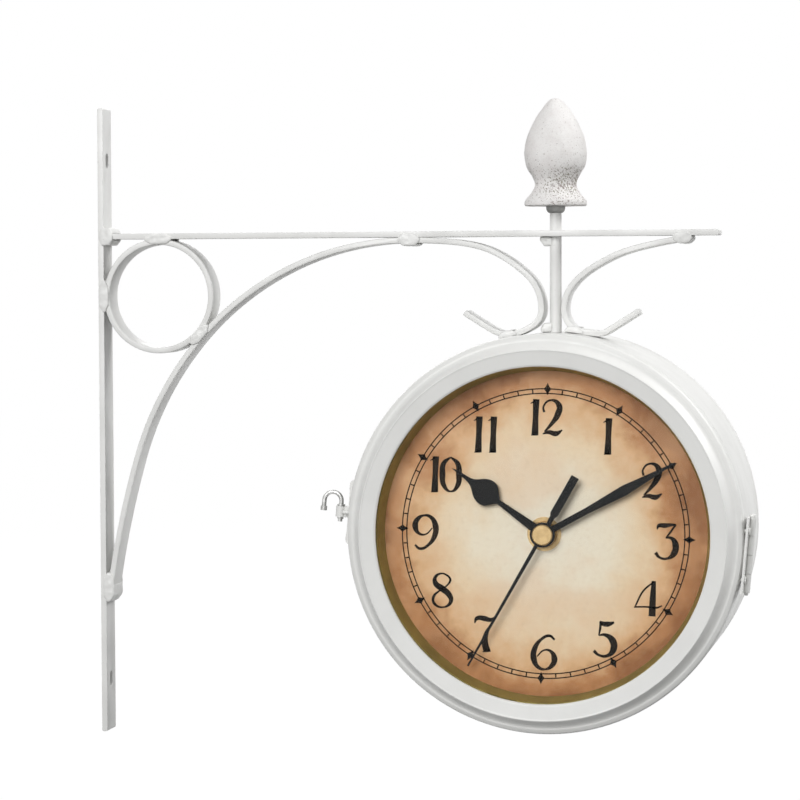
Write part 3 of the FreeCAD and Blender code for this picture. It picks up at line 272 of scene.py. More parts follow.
bare_metal("dark_steel", (0.27, 0.27, 0.26), (0.15, 0.15, 0.15), 0.42, 0.8 * MM)
bare_metal("zinc_wire", (0.62, 0.62, 0.61), (0.30, 0.30, 0.29), 0.26, 0.6 * MM, depth=0.05 * MM)
bare_metal("brass", (0.46, 0.325, 0.17), (0.33, 0.225, 0.11), 0.34, 0.5 * MM, stretch=(1, 1, 6))
bare_metal("contact_steel", (0.74, 0.74, 0.72), (0.55, 0.55, 0.53), 0.2, 0.5 * MM)
bare_metal("coil_copper", (0.72, 0.36, 0.18), (0.50, 0.22, 0.10), 0.28, 0.4 * MM, stretch=(1, 8, 1))
bare_metal("trim_gilt", (0.36, 0.315, 0.10), (0.25, 0.22, 0.068), 0.34, 1.2 * MM, 0.6, stretch=(1, 5, 1))
print("finishes so far:", len(finishes))

# %% [markdown]
# ## Hands, plastics and sleeve
#
# The hands are stamped sheet under satin black. The movements inside are moulded plastic with a fine spark-
# eroded grain. These finishes are nearly one colour, so their life comes from small changes in gloss and a
# shallow grain.

# %% Mix the plain finishes
def grained(name, colour, lighter, roughness, size, depth, shine=0.5):
    skin = Finish(name)
    grain = skin.noise(size, 3)
    broad = skin.noise(14 * MM, 3)
    skin.surface(base_color=skin.colours(skin.between(broad, 0.35, 0.7), colour, lighter),
                 specular_ior_level=shine, roughness=roughness + grain * 0.16, normal=skin.bump(grain, depth))
    finishes[name] = skin.material


grained("hand_black", (0.006, 0.006, 0.007), (0.012, 0.011, 0.011), 0.34, 0.5 * MM, 0.015 * MM, 0.12)
grained("black_plastic", (0.020, 0.020, 0.022), (0.032, 0.032, 0.034), 0.45, 0.35 * MM, 0.03 * MM)
grained("white_plastic", (0.82, 0.80, 0.74), (0.76, 0.74, 0.68), 0.38, 0.6 * MM, 0.01 * MM)
grained("cell_sleeve", (0.05, 0.055, 0.065), (0.075, 0.085, 0.10), 0.22, 0.8 * MM, 0.01 * MM)
grained("print_ink", (0.008, 0.006, 0.005), (0.026, 0.016, 0.010), 0.55, 0.7 * MM, 0.004 * MM, 0.1)
print("finishes so far:", len(finishes))

# %% [markdown]
# ## Clear glass
#
# A flat pane shows only as a faint reflection that grows at a glancing angle. So a clear shader is mixed
# with a glossy one by that angle, and the dial below stays crisp and bright.

# %% Mix the glass
GLASS_SHEEN = 0.13


def clear_glass():
    glass = Finish("clear_glass")
    smear = glass.noise(30 * MM, 3)
    gloss = glass.surface(base_color=(0.95, 0.97, 0.96), roughness=glass.between(smear, 0.3, 0.7, 0.02, 0.05),
                          metallic=1.0)
    clear = glass.node("ShaderNodeBsdfTransparent", {}, {"Color": (0.985, 0.992, 0.988, 1)})
    fresnel = glass.node("ShaderNodeFresnel", {}, {"IOR": 1.45})
    pane = glass.node("ShaderNodeMixShader", {}, {0: fresnel * GLASS_SHEEN, 1: clear, 2: gloss})
    glass.tree.links.new(pane.socket, glass.output.inputs["Surface"])
    finishes["clear_glass"] = glass.material


clear_glass()
print("share of the sheen kept:", GLASS_SHEEN)

# %% [markdown]
# ## The dial's aged paper
#
# The dial is printed to look like old parchment: cream in the middle, tanned orange brown at the rim, with
# cloudy stains that pull the tan inwards here and there. The darkest brown in the outer few millimetres is
# printed tan deepened with painted shade, for the shadow that the trim ring casts on the dial's edge. The
# distance from the dial's middle drives a colour ramp, and broad noise is added to that distance so that the
# rings of colour turn into clouds. Only the outer face is printed: the back is plain grey board.

# %% Mix the dial print
# Ramp stops from the middle out. The last two, the darkest browns, are printed tan deepened with painted
# shade from the trim ring.
PARCHMENT_AND_RIM_SHADE = [(0.0, (0.93, 0.84, 0.70)), (0.36, (0.92, 0.80, 0.63)), (0.60, (0.88, 0.67, 0.45)),
             (0.76, (0.76, 0.46, 0.24)), (0.88, (0.47, 0.20, 0.068)), (1.0, (0.27, 0.095, 0.022))]
DIAL_SIGHT = 83 * MM


def aged_dial():
    paper = Finish("dial_print")
    across = paper.node("ShaderNodeVectorMath", {"operation": "SUBTRACT"}, {0: paper.place, 1: DRUM})
    flat = paper.node("ShaderNodeVectorMath", {"operation": "MULTIPLY"}, {0: across, 1: (1, 0, 1)})
    reach = paper.node("ShaderNodeVectorMath", {"operation": "LENGTH"}, {0: flat}, out="Value")
    clouds = paper.noise(48 * MM, 5, 0.6)
    blots = paper.noise(15 * MM, 6, 0.65)
    fibres = paper.noise(2.2 * MM, 4, 0.7)
    tan_and_rim_shade = reach / DIAL_SIGHT + (clouds - 0.5) * 0.55 + (blots - 0.5) * 0.30
    base = paper.node("ShaderNodeValToRGB", {"stops": PARCHMENT_AND_RIM_SHADE}, {"Fac": tan_and_rim_shade})
    pink = paper.between(paper.noise(36 * MM, 3), 0.46, 0.66) * 0.3
    warm = paper.colours(pink, base, (0.80, 0.46, 0.25))
    mottle = paper.colours(paper.between(fibres, 0.45, 0.8) * 0.2, warm, (0.55, 0.36, 0.19))
    depth = paper.node("ShaderNodeSeparateXYZ", {}, {"Vector": paper.place}, out="Y")
    outwards = paper.node("ShaderNodeMath", {"operation": "ABSOLUTE"}, {0: depth})
    printed = paper.between(outwards, DIAL_FACE - 0.3 * MM, DIAL_FACE - 0.1 * MM)
    board = paper.colours(paper.between(fibres, 0.3, 0.8), (0.50, 0.485, 0.45), (0.40, 0.385, 0.35))
    paper.surface(base_color=paper.colours(printed, board, mottle),
                  roughness=paper.between(blots, 0.3, 0.7, 0.46, 0.58), normal=paper.bump(fibres, 0.008 * MM))
    finishes["dial_print"] = paper.material


aged_dial()
print("finishes:", len(finishes))

# %% Give every measured part its finish
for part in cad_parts.values():
    for index, old in enumerate(part.data.materials):
        slot_name = old.name.split(".")[0]
        part.data.materials[index] = finishes.get(slot_name, finishes["case_paint"])
        if slot_name not in finishes:
            print("no finish for", part.name, slot_name)

# %% [markdown]
# ## Working by hand, in code
#
# Each new piece is made the way it is made by hand: add a primitive, enter edit mode, select, extrude or
# spin, and apply the modifiers. These helpers keep the selection clean between two pieces, give each finished
# piece its body and its finish, and hide the measured part that it stands for.

# %% Helpers for selecting and finishing
def start_clean():
    if bpy.context.object and bpy.context.object.mode == "EDIT":
        bpy.ops.object.mode_set(mode="OBJECT")
    bpy.ops.object.select_all(action="DESELECT")


def work_on(piece):
    start_clean()
    piece.select_set(True)
    bpy.context.view_layer.objects.active = piece


def edit_all(piece):
    work_on(piece)
    bpy.ops.object.mode_set(mode="EDIT")
    bpy.ops.mesh.select_mode(type="VERT")
    bpy.ops.mesh.select_all(action="SELECT")


def leave_edit():
    bpy.ops.object.mode_set(mode="OBJECT")


def set_in_place():
    """Writes the active piece's place, turn and scale into its mesh."""
    bpy.ops.object.transform_apply(location=True, rotation=True, scale=True)


def tidy_skin(piece):
    """Merges what lies on the same spot and turns every face outwards."""
    edit_all(piece)
    bpy.ops.mesh.remove_doubles(threshold=0.002 * MM)
    bpy.ops.mesh.normals_make_consistent(inside=False)
    leave_edit()


def bake_modifier(piece, kind, **settings):
    work_on(piece)
    modifier = piece.modifiers.new(kind.title(), kind)
    for name, value in settings.items():
        setattr(modifier, name, value)
    bpy.ops.object.modifier_apply(modifier=modifier.name)


def roughen(piece, name, size, depth, middle):
    """Pushes the skin in and out by cloudy noise."""
    clouds = bpy.data.textures.new(name, "CLOUDS")
    clouds.noise_scale = size
    bake_modifier(piece, "DISPLACE", texture=clouds, strength=depth, mid_level=middle,
                  texture_coords="GLOBAL")


def finish_piece(piece, body, finish, stands_for=(), smooth=40):
    work_on(piece)
    set_in_place()
    bpy.ops.object.shade_smooth_by_angle(angle=math.radians(smooth))
    piece.data.materials.clear()
    piece.data.materials.append(finishes[finish])
    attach(piece, body)
    if stands_for:
        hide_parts(*stands_for)
    print(piece.name, "rides on", body, "faces", len(piece.data.polygons))


# %% Spin a drawn section round an axis
def spun(name, corners, centre, axis, steps=144):
    """Draws a closed section, corner by corner, and spins it all the way round. Each corner is a radius and a
    level along the axis."""
    out = Vector((1, 0, 0))
    spots = [centre + out * radius + axis * level for radius, level in corners]
    start_clean()
    bpy.ops.mesh.primitive_plane_add(size=MM, location=spots[0])
    piece = bpy.context.object
    piece.name = name
    set_in_place()
    edit_all(piece)
    bpy.ops.mesh.merge(type="CENTER")
    for before, after in zip(spots, spots[1:] + spots[:1]):
        bpy.ops.mesh.extrude_vertices_move(TRANSFORM_OT_translate={"value": after - before})
    bpy.ops.mesh.select_all(action="SELECT")
    bpy.ops.mesh.remove_doubles(threshold=0.002 * MM)
    bpy.ops.mesh.select_all(action="SELECT")
    bpy.ops.mesh.spin(steps=steps, angle=math.tau, center=centre, axis=axis)
    leave_edit()
    tidy_skin(piece)
    return piece


def copy_to_rear(piece, name):
    """A copy turned half round the upright line through the drum, as the rear of the clock is."""
    work_on(piece)
    bpy.ops.object.duplicate(linked=False)
    copy = bpy.context.object
    copy.name = name
    edit_all(copy)
    bpy.ops.transform.rotate(value=math.pi, orient_axis="Z", center_override=DRUM)
    leave_edit()
    return copy


FRONT = Vector((0, -1, 0))
UP = Vector((0, 0, 1))
print("spinning about", tuple(FRONT), "and", tuple(UP))

# %% [markdown]
# ## Pressed bezels
#
# A bezel is one sheet pressed into a ring: side wall, rolled shoulder, hollow cove, a fine ridge and a
# nearly flat face that turns in to hold the glass. It is the same all the way round, so its section is
# drawn once and spun. The cove is an arc worked out from a formula, and a bevel rounds the folds as the
# press does.

# %% Draw the section of the bezel and spin it
SHEET = 1.2 * MM
OPENING = 84 * MM
RIDGE = 92 * MM
SHOULDER_BELOW_RIDGE = 8.6 * MM
SHOULDER_WIDE = 2.6 * MM
SHOULDER_TALL = 3.0 * MM
COVE_HOLLOW = 0.55 * MM
COVE_STEPS = 6
FOLD_ROUND = 0.25 * MM


def bezel_section():
    """The outside of the sheet from the seam to the opening, then back along the inside."""
    seam = SHELL_EDGE + 0.4 * MM
    shoulder = RIDGE_DEPTH - SHOULDER_BELOW_RIDGE
    cove_start, cove_low = DRUM_RADIUS - SHOULDER_WIDE, shoulder + SHOULDER_TALL
    cove_stop, cove_high = RIDGE + 0.7 * MM, RIDGE_DEPTH - 0.5 * MM
    outside = [(DRUM_RADIUS, seam), (DRUM_RADIUS, shoulder),
               (DRUM_RADIUS - 0.7 * MM, shoulder + 1.9 * MM), (cove_start, cove_low)]
    for step in range(1, COVE_STEPS):
        share = step / COVE_STEPS
        hollow = math.sin(share * math.pi) * COVE_HOLLOW
        outside.append((cove_start + (cove_stop - cove_start) * share,
                        cove_low + (cove_high - cove_low) * share ** 1.5 - hollow))
    outside += [(RIDGE + 0.45 * MM, RIDGE_DEPTH - 0.1 * MM), (RIDGE, RIDGE_DEPTH),
                (RIDGE - 0.5 * MM, RIDGE_DEPTH - 0.3 * MM), (OPENING + 1.0 * MM, RIDGE_DEPTH - 0.75 * MM),
                (OPENING, RIDGE_DEPTH - 1.3 * MM), (OPENING, RIDGE_DEPTH - 2.6 * MM)]
    inside = [(OPENING + SHEET, RIDGE_DEPTH - 2.6 * MM), (OPENING + SHEET, RIDGE_DEPTH - 2.2 * MM),
              (RIDGE - 0.5 * MM, RIDGE_DEPTH - 1.6 * MM), (DRUM_RADIUS - 5.4 * MM, RIDGE_DEPTH - 6.4 * MM),
              (DRUM_RADIUS - SHEET, shoulder - 0.6 * MM), (DRUM_RADIUS - SHEET, seam)]
    return outside + inside


bezel = spun("front_bezel_pressed", bezel_section(), DRUM, FRONT)
bake_modifier(bezel, "BEVEL", width=FOLD_ROUND, segments=2, limit_method="ANGLE",
              angle_limit=math.radians(18))
print("bezel section has", len(bezel_section()), "corners")

# %% Bend in the tabs that hold the dial, and copy the bezel to the rear
TAB_MIDDLE = DRUM_RADIUS - 3.8 * MM
TAB_LEVEL = DIAL_FACE - 1 * MM - SHEET / 2
TAB_SIZE = (5.6 * MM, SHEET, 10 * MM)


def add_block(name, place, size, turn):
    """A rounded block. The turn is about the drum's axis."""
    start_clean()
    bpy.ops.mesh.primitive_cube_add(size=1, location=place, rotation=(0, turn, 0), scale=size)
    block = bpy.context.object
    block.name = name
    set_in_place()
    bake_modifier(block, "BEVEL", width=min(size) * 0.3, segments=2)
    return block


def join_all(first, others):
    work_on(first)
    for other in others:
        other.select_set(True)
    bpy.ops.object.join()
    return first


FIRST_TAB = 45
tabs = []
for quarter in range(4):
    angle = math.radians(FIRST_TAB + 90 * quarter)
    spot = DRUM + Vector((math.cos(angle), 0, math.sin(angle))) * TAB_MIDDLE + FRONT * TAB_LEVEL
    tabs.append(add_block("tab", spot, TAB_SIZE, -angle))
bezel = join_all(bezel, tabs)
rear_bezel = copy_to_rear(bezel, "rear_bezel_pressed")
print("tabs:", len(tabs))

# %% Press in the catch stud, and hang the bezels on their bodies
STUD_RADIUS = 1.0 * MM
STUD_LEVEL = 35.6 * MM
STUD_RISE = 9.2 * MM
STUD_SUNK = 1.0 * MM
stud_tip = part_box("front_bezel")[0].x
stud_long = DRUM.x - DRUM_RADIUS - stud_tip + STUD_SUNK
stud_middle = (DRUM_RADIUS + DRUM.x - stud_tip) / 2 - 0.4 * MM
start_clean()
bpy.ops.mesh.primitive_cylinder_add(vertices=24, radius=STUD_RADIUS, depth=stud_long,
                                    rotation=(0, math.pi / 2, 0))
stud = bpy.context.object
stud.location = DRUM + FRONT * STUD_LEVEL + Vector((-stud_middle, 0, STUD_RISE))
set_in_place()
bake_modifier(stud, "BEVEL", width=0.35 * MM, segments=3, limit_method="ANGLE")
bezel = join_all(bezel, [stud])
finish_piece(bezel, "front_door", "case_paint", ["front_bezel"], 30)
finish_piece(rear_bezel, "clock", "case_paint", ["rear_bezel"], 30)

# %% [markdown]
# ## The drum shell
#
# The shell is rolled sheet, welded into a hoop. Its two edges are turned over a little, so that the bezels
# meet them in a soft groove instead of a sharp line.

# %% Roll the drum shell
EDGE_TURN = 0.5 * MM
shell_section = [
    (DRUM_RADIUS - SHEET, -SHELL_EDGE), (DRUM_RADIUS - EDGE_TURN, -SHELL_EDGE),
    (DRUM_RADIUS, -SHELL_EDGE + EDGE_TURN), (DRUM_RADIUS, SHELL_EDGE - EDGE_TURN),
    (DRUM_RADIUS - EDGE_TURN, SHELL_EDGE), (DRUM_RADIUS - SHEET, SHELL_EDGE)]
shell = spun("drum_shell_rolled", shell_section, DRUM, FRONT)
finish_piece(shell, "clock", "case_paint", ["drum_shell"], 30)

# %% [markdown]
# ## The finial
#
# A pointed bulb on a flared foot. Its outline is a smooth swelling, so only a few points are drawn and a
# curve runs through them. The formula is a cubic that passes through every point given. After the spin, two
# layers of displacement give the casting its uneven skin.

# %% Draw a smooth outline through a few points
def smooth_line(points, steps):
    """Points on a smooth curve that passes through all the given ones."""
    line = []
    for index in range(len(points) - 1):
        before = points[max(index - 1, 0)]
        start, stop = points[index], points[index + 1]
        after = points[min(index + 2, len(points) - 1)]
        for step in range(steps):
            t = step / steps
            line.append(tuple(0.5 * (2 * b + (c - a) * t + (2 * a - 5 * b + 4 * c - d) * t * t
                                     + (3 * b - a - 3 * c + d) * t ** 3)
                              for a, b, c, d in zip(before, start, stop, after)))
    return line + [points[-1]]


# %% Spin and roughen the finial
finial_low, finial_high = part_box("finial")
TALL = finial_high.z - finial_low.z
WIDE = (finial_high.x - finial_low.x) / 2
BORE = 3.1 * MM
BORE_TOP = finial_low.z + 12.4 * MM
OUTLINE = [(0.985, 0.01), (0.97, 0.05), (0.81, 0.109), (0.68, 0.172), (0.67, 0.225), (0.77, 0.285),
           (0.93, 0.365), (0.99, 0.46), (0.975, 0.54), (0.905, 0.64), (0.75, 0.75), (0.53, 0.86),
           (0.32, 0.94), (0.15, 0.985), (0.0, 0.997)]
finial_section = [(BORE, BORE_TOP), (BORE, finial_low.z), (WIDE * 0.96, finial_low.z)]
finial_section += [(WIDE * radius, finial_low.z + TALL * level) for radius, level in smooth_line(OUTLINE, 5)]
finial_section.append((0, BORE_TOP))
finial = spun("finial_cast", finial_section, Vector((DRUM.x, 0, 0)), UP, 128)
roughen(finial, "casting_lumps", 6 * MM, 0.45 * MM, 0.55)
roughen(finial, "casting_grit", 1.3 * MM, 0.3 * MM, 0.55)
finish_piece(finial, "clock", "finial_paint", ["finial"], 60)

# %% Turn the domed lock nut below it
nut_low, nut_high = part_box("finial_nut")
nut_tall = nut_high.z - nut_low.z
nut_radius = (nut_high.x - nut_low.x) / 2
DOME_FOOT = 0.62
DOME_TALL = 0.8
DOME_STEPS = 6
NUT_EDGE = 0.1 * MM
nut_section = [(BORE, nut_low.z), (nut_radius * DOME_FOOT, nut_low.z)]
for step in range(1, DOME_STEPS + 1):
    swing = step / DOME_STEPS * math.pi / 2
    nut_section.append((nut_radius * (DOME_FOOT + (1 - DOME_FOOT) * math.sin(swing)),
                        nut_low.z + nut_tall * DOME_TALL * (1 - math.cos(swing))))
nut_section += [(nut_radius, nut_high.z - NUT_EDGE), (nut_radius - NUT_EDGE, nut_high.z), (BORE, nut_high.z)]
nut = spun("finial_nut_dome", nut_section, Vector((DRUM.x, 0, 0)), UP, 64)
finish_piece(nut, "clock", "dark_steel", ["finial_nut"], 40)

# %% [markdown]
# ## Flat strips with worn edges
#
# Every bar of the bracket is flat strip, and the rolling mill leaves its long edges slightly round. The
# edge is what catches the light, so it matters more than the faces. A copy of each measured strip is
# merged, its flat faces are joined up again, and a bevel rounds the edges.

# %% Round the edges of the strips
def copy_of_part(part, name):
    """A loose copy of a measured part, without its labels and merged into one skin."""
    work_on(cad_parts[part])
    bpy.ops.object.duplicate(linked=False)
    copy = bpy.context.object
    copy.parent = None
    copy.name = name
    for key in list(copy.keys()):
        del copy[key]
    tidy_skin(copy)
    return copy


def join_flat_faces(piece):
    edit_all(piece)
    bpy.ops.mesh.dissolve_limited(angle_limit=math.radians(0.5))
    leave_edit()


EDGE_ROUND = 0.55 * MM
for part in ("wall_bar", "support_arm", "bracket_ring", "long_brace", "inner_scroll", "outer_scroll"):
    strip = copy_of_part(part, part + "_rolled")
    join_flat_faces(strip)
    bake_modifier(strip, "BEVEL", width=EDGE_ROUND, segments=3, limit_method="ANGLE",
                  angle_limit=math.radians(35))
    finish_piece(strip, "clock", "bracket_paint", [part], 30)

# %% [markdown]
# ## Hour hands
#
# The hour hand is a broad leaf on a slim shaft that widens a little towards its hub. A copy of the measured
# hand keeps the leaf. Its flat faces are joined up, and each corner of the shaft moves sideways to the
# straight edge it should have.

# %% Draw the shafts of the hour hands straight
SHAFT_START = 5.6 * MM
SHAFT_STOP = 27.6 * MM
HALF_WIDE_AT_HUB = 2.3 * MM
HALF_WIDE_AT_LEAF = 1.2 * MM

for side in ("front", "rear"):
    hand = copy_of_part(side + "_hour_hand", side + "_hour_hand_stamped")
    join_flat_faces(hand)
    tip = max((corner.co - DRUM for corner in hand.data.vertices), key=lambda spot: spot.xz.length)
    pointing = Vector((tip.x, 0, tip.z)).normalized()
    sideways = pointing.cross(FRONT)
    for corner in hand.data.vertices:
        along, across = ((corner.co - DRUM).dot(line) for line in (pointing, sideways))
        share = (along - SHAFT_START) / (SHAFT_STOP - SHAFT_START)
        if 0 < share < 1:
            half_wide = HALF_WIDE_AT_HUB + (HALF_WIDE_AT_LEAF - HALF_WIDE_AT_HUB) * share
            corner.co += sideways * (math.copysign(half_wide, across) - across)
    finish_piece(hand, side + "_hour", "hand_black", [side + "_hour_hand"], 30)

# %% [markdown]
# ## Lumps of weld
#
# Each joint of the bracket is a lump of weld under the paint. The measured model has plain lumps in the
# right places. A copy of them is merged, remeshed into small even faces and smoothed, and noise then pushes
# the skin in and out, as the molten bead set.

# %% Melt the weld lumps
weld = copy_of_part("weld_beads", "weld_lumps")
bake_modifier(weld, "REMESH", mode="VOXEL", voxel_size=0.55 * MM)
bake_modifier(weld, "SMOOTH", iterations=9, factor=0.7)
roughen(weld, "weld_ripple", 3.2 * MM, 0.8 * MM, 0.4)
finish_piece(weld, "clock", "bracket_paint", ["weld_beads"], 80)

# %% [markdown]
# ## The minute track
#
# The printed track is two thin circles with sixty short lines between them, and a small pointed star on the
# outer circle at each hour. The print is a separate thin skin of ink just above the paper, so it stays
# crisp at any size. On this clock the print sits slightly turned in its case, so everything printed gets
# the same small turn.

# %% Print the circles, the minute lines and the hour stars
PRINT_TURN = 1.4
INK_LEVEL = DIAL_FACE + 0.03 * MM
OUTER_LINE = 72.3 * MM
INNER_LINE = 70.0 * MM
LINE_WIDTH = 0.6 * MM
MINUTE_MARK = (1.2 * MM, 0.36 * MM, 1.2)  # half its length, half its width, waist
HOUR_STAR = (3.2 * MM, 1.9 * MM, 0.60)
STAR_RADIUS = OUTER_LINE + 0.2 * MM


def dial_point(radius, degrees):
    """A point on the dial, clockwise from twelve, with the print's own turn."""
    angle = math.radians(degrees + PRINT_TURN)
    return DRUM + Vector((math.sin(angle), 0, math.cos(angle))) * radius + FRONT * INK_LEVEL


def face_forward(piece):
    """Turns every face of a flat skin to the front."""
    edit_all(piece)
    bpy.ops.mesh.normals_make_consistent(inside=False)
    leave_edit()
    for face in piece.data.polygons:
        if face.normal.y > 0:
            face.flip()
    piece.data.update()


def ink_circle(radius):
    start_clean()
    bpy.ops.mesh.primitive_circle_add(vertices=180, radius=radius, location=DRUM + FRONT * INK_LEVEL,
                                      rotation=(math.pi / 2, 0, 0))
    line = bpy.context.object
    set_in_place()
    edit_all(line)
    grow = 1 + LINE_WIDTH / radius
    bpy.ops.mesh.extrude_edges_move()
    bpy.ops.transform.resize(value=(grow, 1, grow), center_override=DRUM)
    leave_edit()
    return line


def ink_mark(degrees, radius, half_long, half_wide, waist):
    """A flat mark on the track: a line where the waist is 1, a pointed star where it is less."""
    start_clean()
    bpy.ops.mesh.primitive_circle_add(vertices=8, radius=1, fill_type="NGON", rotation=(math.pi / 2, 0, 0))
    mark = bpy.context.object
    set_in_place()
    for corner in mark.data.vertices:
        x, z = corner.co.x, corner.co.z
        diagonal = abs(x) > 0.1 and abs(z) > 0.1
        pinch = waist if diagonal else 1
        corner.co = Vector((x * half_wide * pinch, 0, z * half_long * pinch))
    mark.matrix_world = (Matrix.Translation(dial_point(radius, degrees))
                         @ Matrix.Rotation(math.radians(degrees + PRINT_TURN), 4, "Y"))
    set_in_place()
    return mark


marks = [ink_circle(INNER_LINE)]
middle_line = (OUTER_LINE + INNER_LINE) / 2
for minute in range(60):
    marks.append(ink_mark(minute * 6, middle_line, *MINUTE_MARK))
    if minute % 5 == 0:
        marks.append(ink_mark(minute * 6, STAR_RADIUS, *HOUR_STAR))
track = join_all(ink_circle(OUTER_LINE), marks)
track.name = "front_minute_track"
face_forward(track)
rear_track = copy_to_rear(track, "rear_minute_track")
finish_piece(track, "front_door", "print_ink")
finish_piece(rear_track, "clock", "print_ink")

# %% [markdown]
# ## The numerals
#
# The numerals are drawn with a broad pen: thick stems, thin curls. A pen stroke is a line whose width
# changes, and a curve can be just that, because each of its points has a radius. So each figure below is a
# few strokes, and each stroke is a few points: across, up, and width, all as shares of the figure's height.

# %% Pen strokes for the ten figures
FIGURES = {
    "0": [[(0, 0.98, .04), (0.20, 0.80, .12), (0.235, 0.5, .15), (0.20, 0.20, .12), (0, 0.02, .04),
           (-0.20, 0.20, .12), (-0.235, 0.5, .15), (-0.20, 0.80, .12), (0, 0.98, .04)]],
    "1": [[(0.02, 1.0, .16), (0.0, 0.5, .135), (-0.02, 0.0, .17)], [(0.02, 0.97, .06), (-0.14, 0.88, .02)],
          [(-0.13, 0.0, .02), (0.03, 0.035, .08)]],
    "2": [[(-0.23, 0.64, .06), (-0.245, 0.80, .045), (-0.03, 0.975, .05), (0.19, 0.83, .14),
           (0.15, 0.58, .15), (-0.02, 0.32, .09), (-0.22, 0.10, .04)],
          [(-0.27, 0.04, .03), (-0.10, 0.085, .10), (0.10, 0.05, .13), (0.28, 0.15, .03)]],
    "3": [[(-0.27, 0.83, .02), (-0.22, 0.93, .09), (-0.06, 0.94, .12), (0.16, 0.965, .07), (0.26, 0.96, .04)],
          [(0.25, 0.975, .05), (0.10, 0.76, .05), (-0.02, 0.60, .04)],
          [(-0.03, 0.60, .03), (0.12, 0.60, .08), (0.24, 0.42, .16), (0.20, 0.18, .15), (0.02, 0.035, .06),
           (-0.20, 0.06, .06), (-0.31, 0.19, .09)]],
    "4": [[(0.15, 1.0, .10), (0.12, 0.5, .15), (0.10, 0.02, .17)],
          [(0.14, 0.97, .04), (-0.14, 0.72, .045), (-0.36, 0.30, .04)],
          [(-0.40, 0.27, .04), (-0.05, 0.28, .04), (0.22, 0.26, .05), (0.38, 0.32, .03)]],
    "5": [[(-0.16, 0.99, .05), (-0.10, 0.94, .11), (0.06, 0.92, .13), (0.24, 0.97, .05)],
          [(-0.14, 0.97, .05), (-0.15, 0.78, .06), (-0.19, 0.60, .03)],
          [(-0.19, 0.60, .03), (-0.02, 0.62, .08), (0.20, 0.46, .17), (0.22, 0.22, .16), (0.06, 0.045, .08),
           (-0.18, 0.05, .06), (-0.33, 0.17, .08)]],
    "6": [[(0.30, 0.86, .05), (0.16, 0.965, .07), (-0.08, 0.86, .07), (-0.27, 0.58, .13), (-0.29, 0.32, .15),
           (-0.16, 0.08, .09), (0.04, 0.03, .05), (0.24, 0.16, .12), (0.29, 0.34, .15), (0.18, 0.54, .07),
           (0.0, 0.56, .04), (-0.20, 0.38, .03)]],
    "7": [[(-0.29, 0.80, .03), (-0.22, 0.93, .10), (0.0, 0.93, .13), (0.16, 0.90, .10), (0.30, 0.98, .03)],
          [(0.29, 0.97, .04), (0.16, 0.74, .05), (0.04, 0.50, .11), (0.0, 0.26, .16), (0.06, 0.03, .17)],
          [(-0.06, 0.0, .03), (0.16, 0.05, .09)]],
    "8": [[(0.19, 0.90, .05), (0.0, 0.975, .04), (-0.19, 0.87, .08), (-0.19, 0.70, .13), (0.0, 0.55, .16),
           (0.20, 0.38, .14), (0.25, 0.20, .10), (0.05, 0.03, .04), (-0.22, 0.12, .07), (-0.25, 0.30, .07),
           (-0.06, 0.50, .04), (0.16, 0.66, .04), (0.235, 0.80, .06), (0.19, 0.90, .05)]],
}
FIGURES["9"] = [[(-x, 1 - y, width) for x, y, width in stroke] for stroke in FIGURES["6"]]
print("figures:", " ".join(sorted(FIGURES)))

# %% Set the strokes out as flat curves and make them a mesh
FIGURE_HEIGHT = 18.0 * MM
STROKE_STEPS = 8
PEN_WIDTH = 1.16
HALF_PEN = 0.5


def draw_figure(figure):
    """The strokes of one figure, lying flat with its middle at the origin."""
    curve = bpy.data.curves.new("figure_" + figure, "CURVE")
    curve.dimensions = "3D"
    curve.twist_mode = "Z_UP"
    curve.resolution_u = STROKE_STEPS
    curve.extrude = HALF_PEN
    for stroke in FIGURES[figure]:
        line = curve.splines.new("BEZIER")
        line.bezier_points.add(len(stroke) - 1)
        for knot, (x, y, width) in zip(line.bezier_points, stroke):
            knot.co = (x, y - 0.5, 0)
            knot.radius = width * PEN_WIDTH
            knot.tilt = math.pi / 2
            knot.handle_left_type = knot.handle_right_type = "AUTO"
    drawn = bpy.data.objects.new("figure_" + figure, curve)
    bpy.context.scene.collection.objects.link(drawn)
    work_on(drawn)
    bpy.ops.object.convert(target="MESH")
    return bpy.context.object


# %% Print the twelve hours on both dials
HOUR_PLACES = {  # hour: distance from the dial's middle in millimetres, degrees clockwise from twelve
    12: (58.4, 0.2), 1: (58.8, 31.9), 2: (60.4, 61.8), 3: (61.4, 91.2), 4: (61.0, 119.7), 5: (60.5, 148.0),
    6: (59.5, 178.8), 7: (59.3, 209.4), 8: (59.9, 239.2), 9: (60.7, 268.5), 10: (57.9, 299.0),
    11: (57.7, 327.8)}
PAIR_OFFSETS = {  # how far the two figures lie from the middle of the pair, as shares of their height
    10: (-0.31, 0.13), 11: (-0.20, 0.21), 12: (-0.33, 0.14)}

numerals = []
for hour, (radius, degrees) in HOUR_PLACES.items():
    for index, figure in enumerate(str(hour)):
        shape = draw_figure(figure)
        across = PAIR_OFFSETS[hour][index] if hour in PAIR_OFFSETS else 0
        shape.matrix_world = (Matrix.Translation(dial_point(radius * MM, degrees))
                              @ Matrix.Rotation(math.pi / 2, 4, "X") @ Matrix.Scale(FIGURE_HEIGHT, 4)
                              @ Matrix.Translation((across, 0, 0)))
        set_in_place()
        numerals.append(shape)
hours = join_all(numerals[0], numerals[1:])
hours.name = "front_numerals"
face_forward(hours)
rear_hours = copy_to_rear(hours, "rear_numerals")
finish_piece(hours, "front_door", "print_ink")
finish_piece(rear_hours, "clock", "print_ink")

# %% [markdown]
# ## The camera
#
# The photograph was taken a little to the right of the clock and slightly above it, with a long lens that
# keeps straight lines straight. The camera stands where the sizes of the drum, bracket and finial all agree
# with their places in the picture.

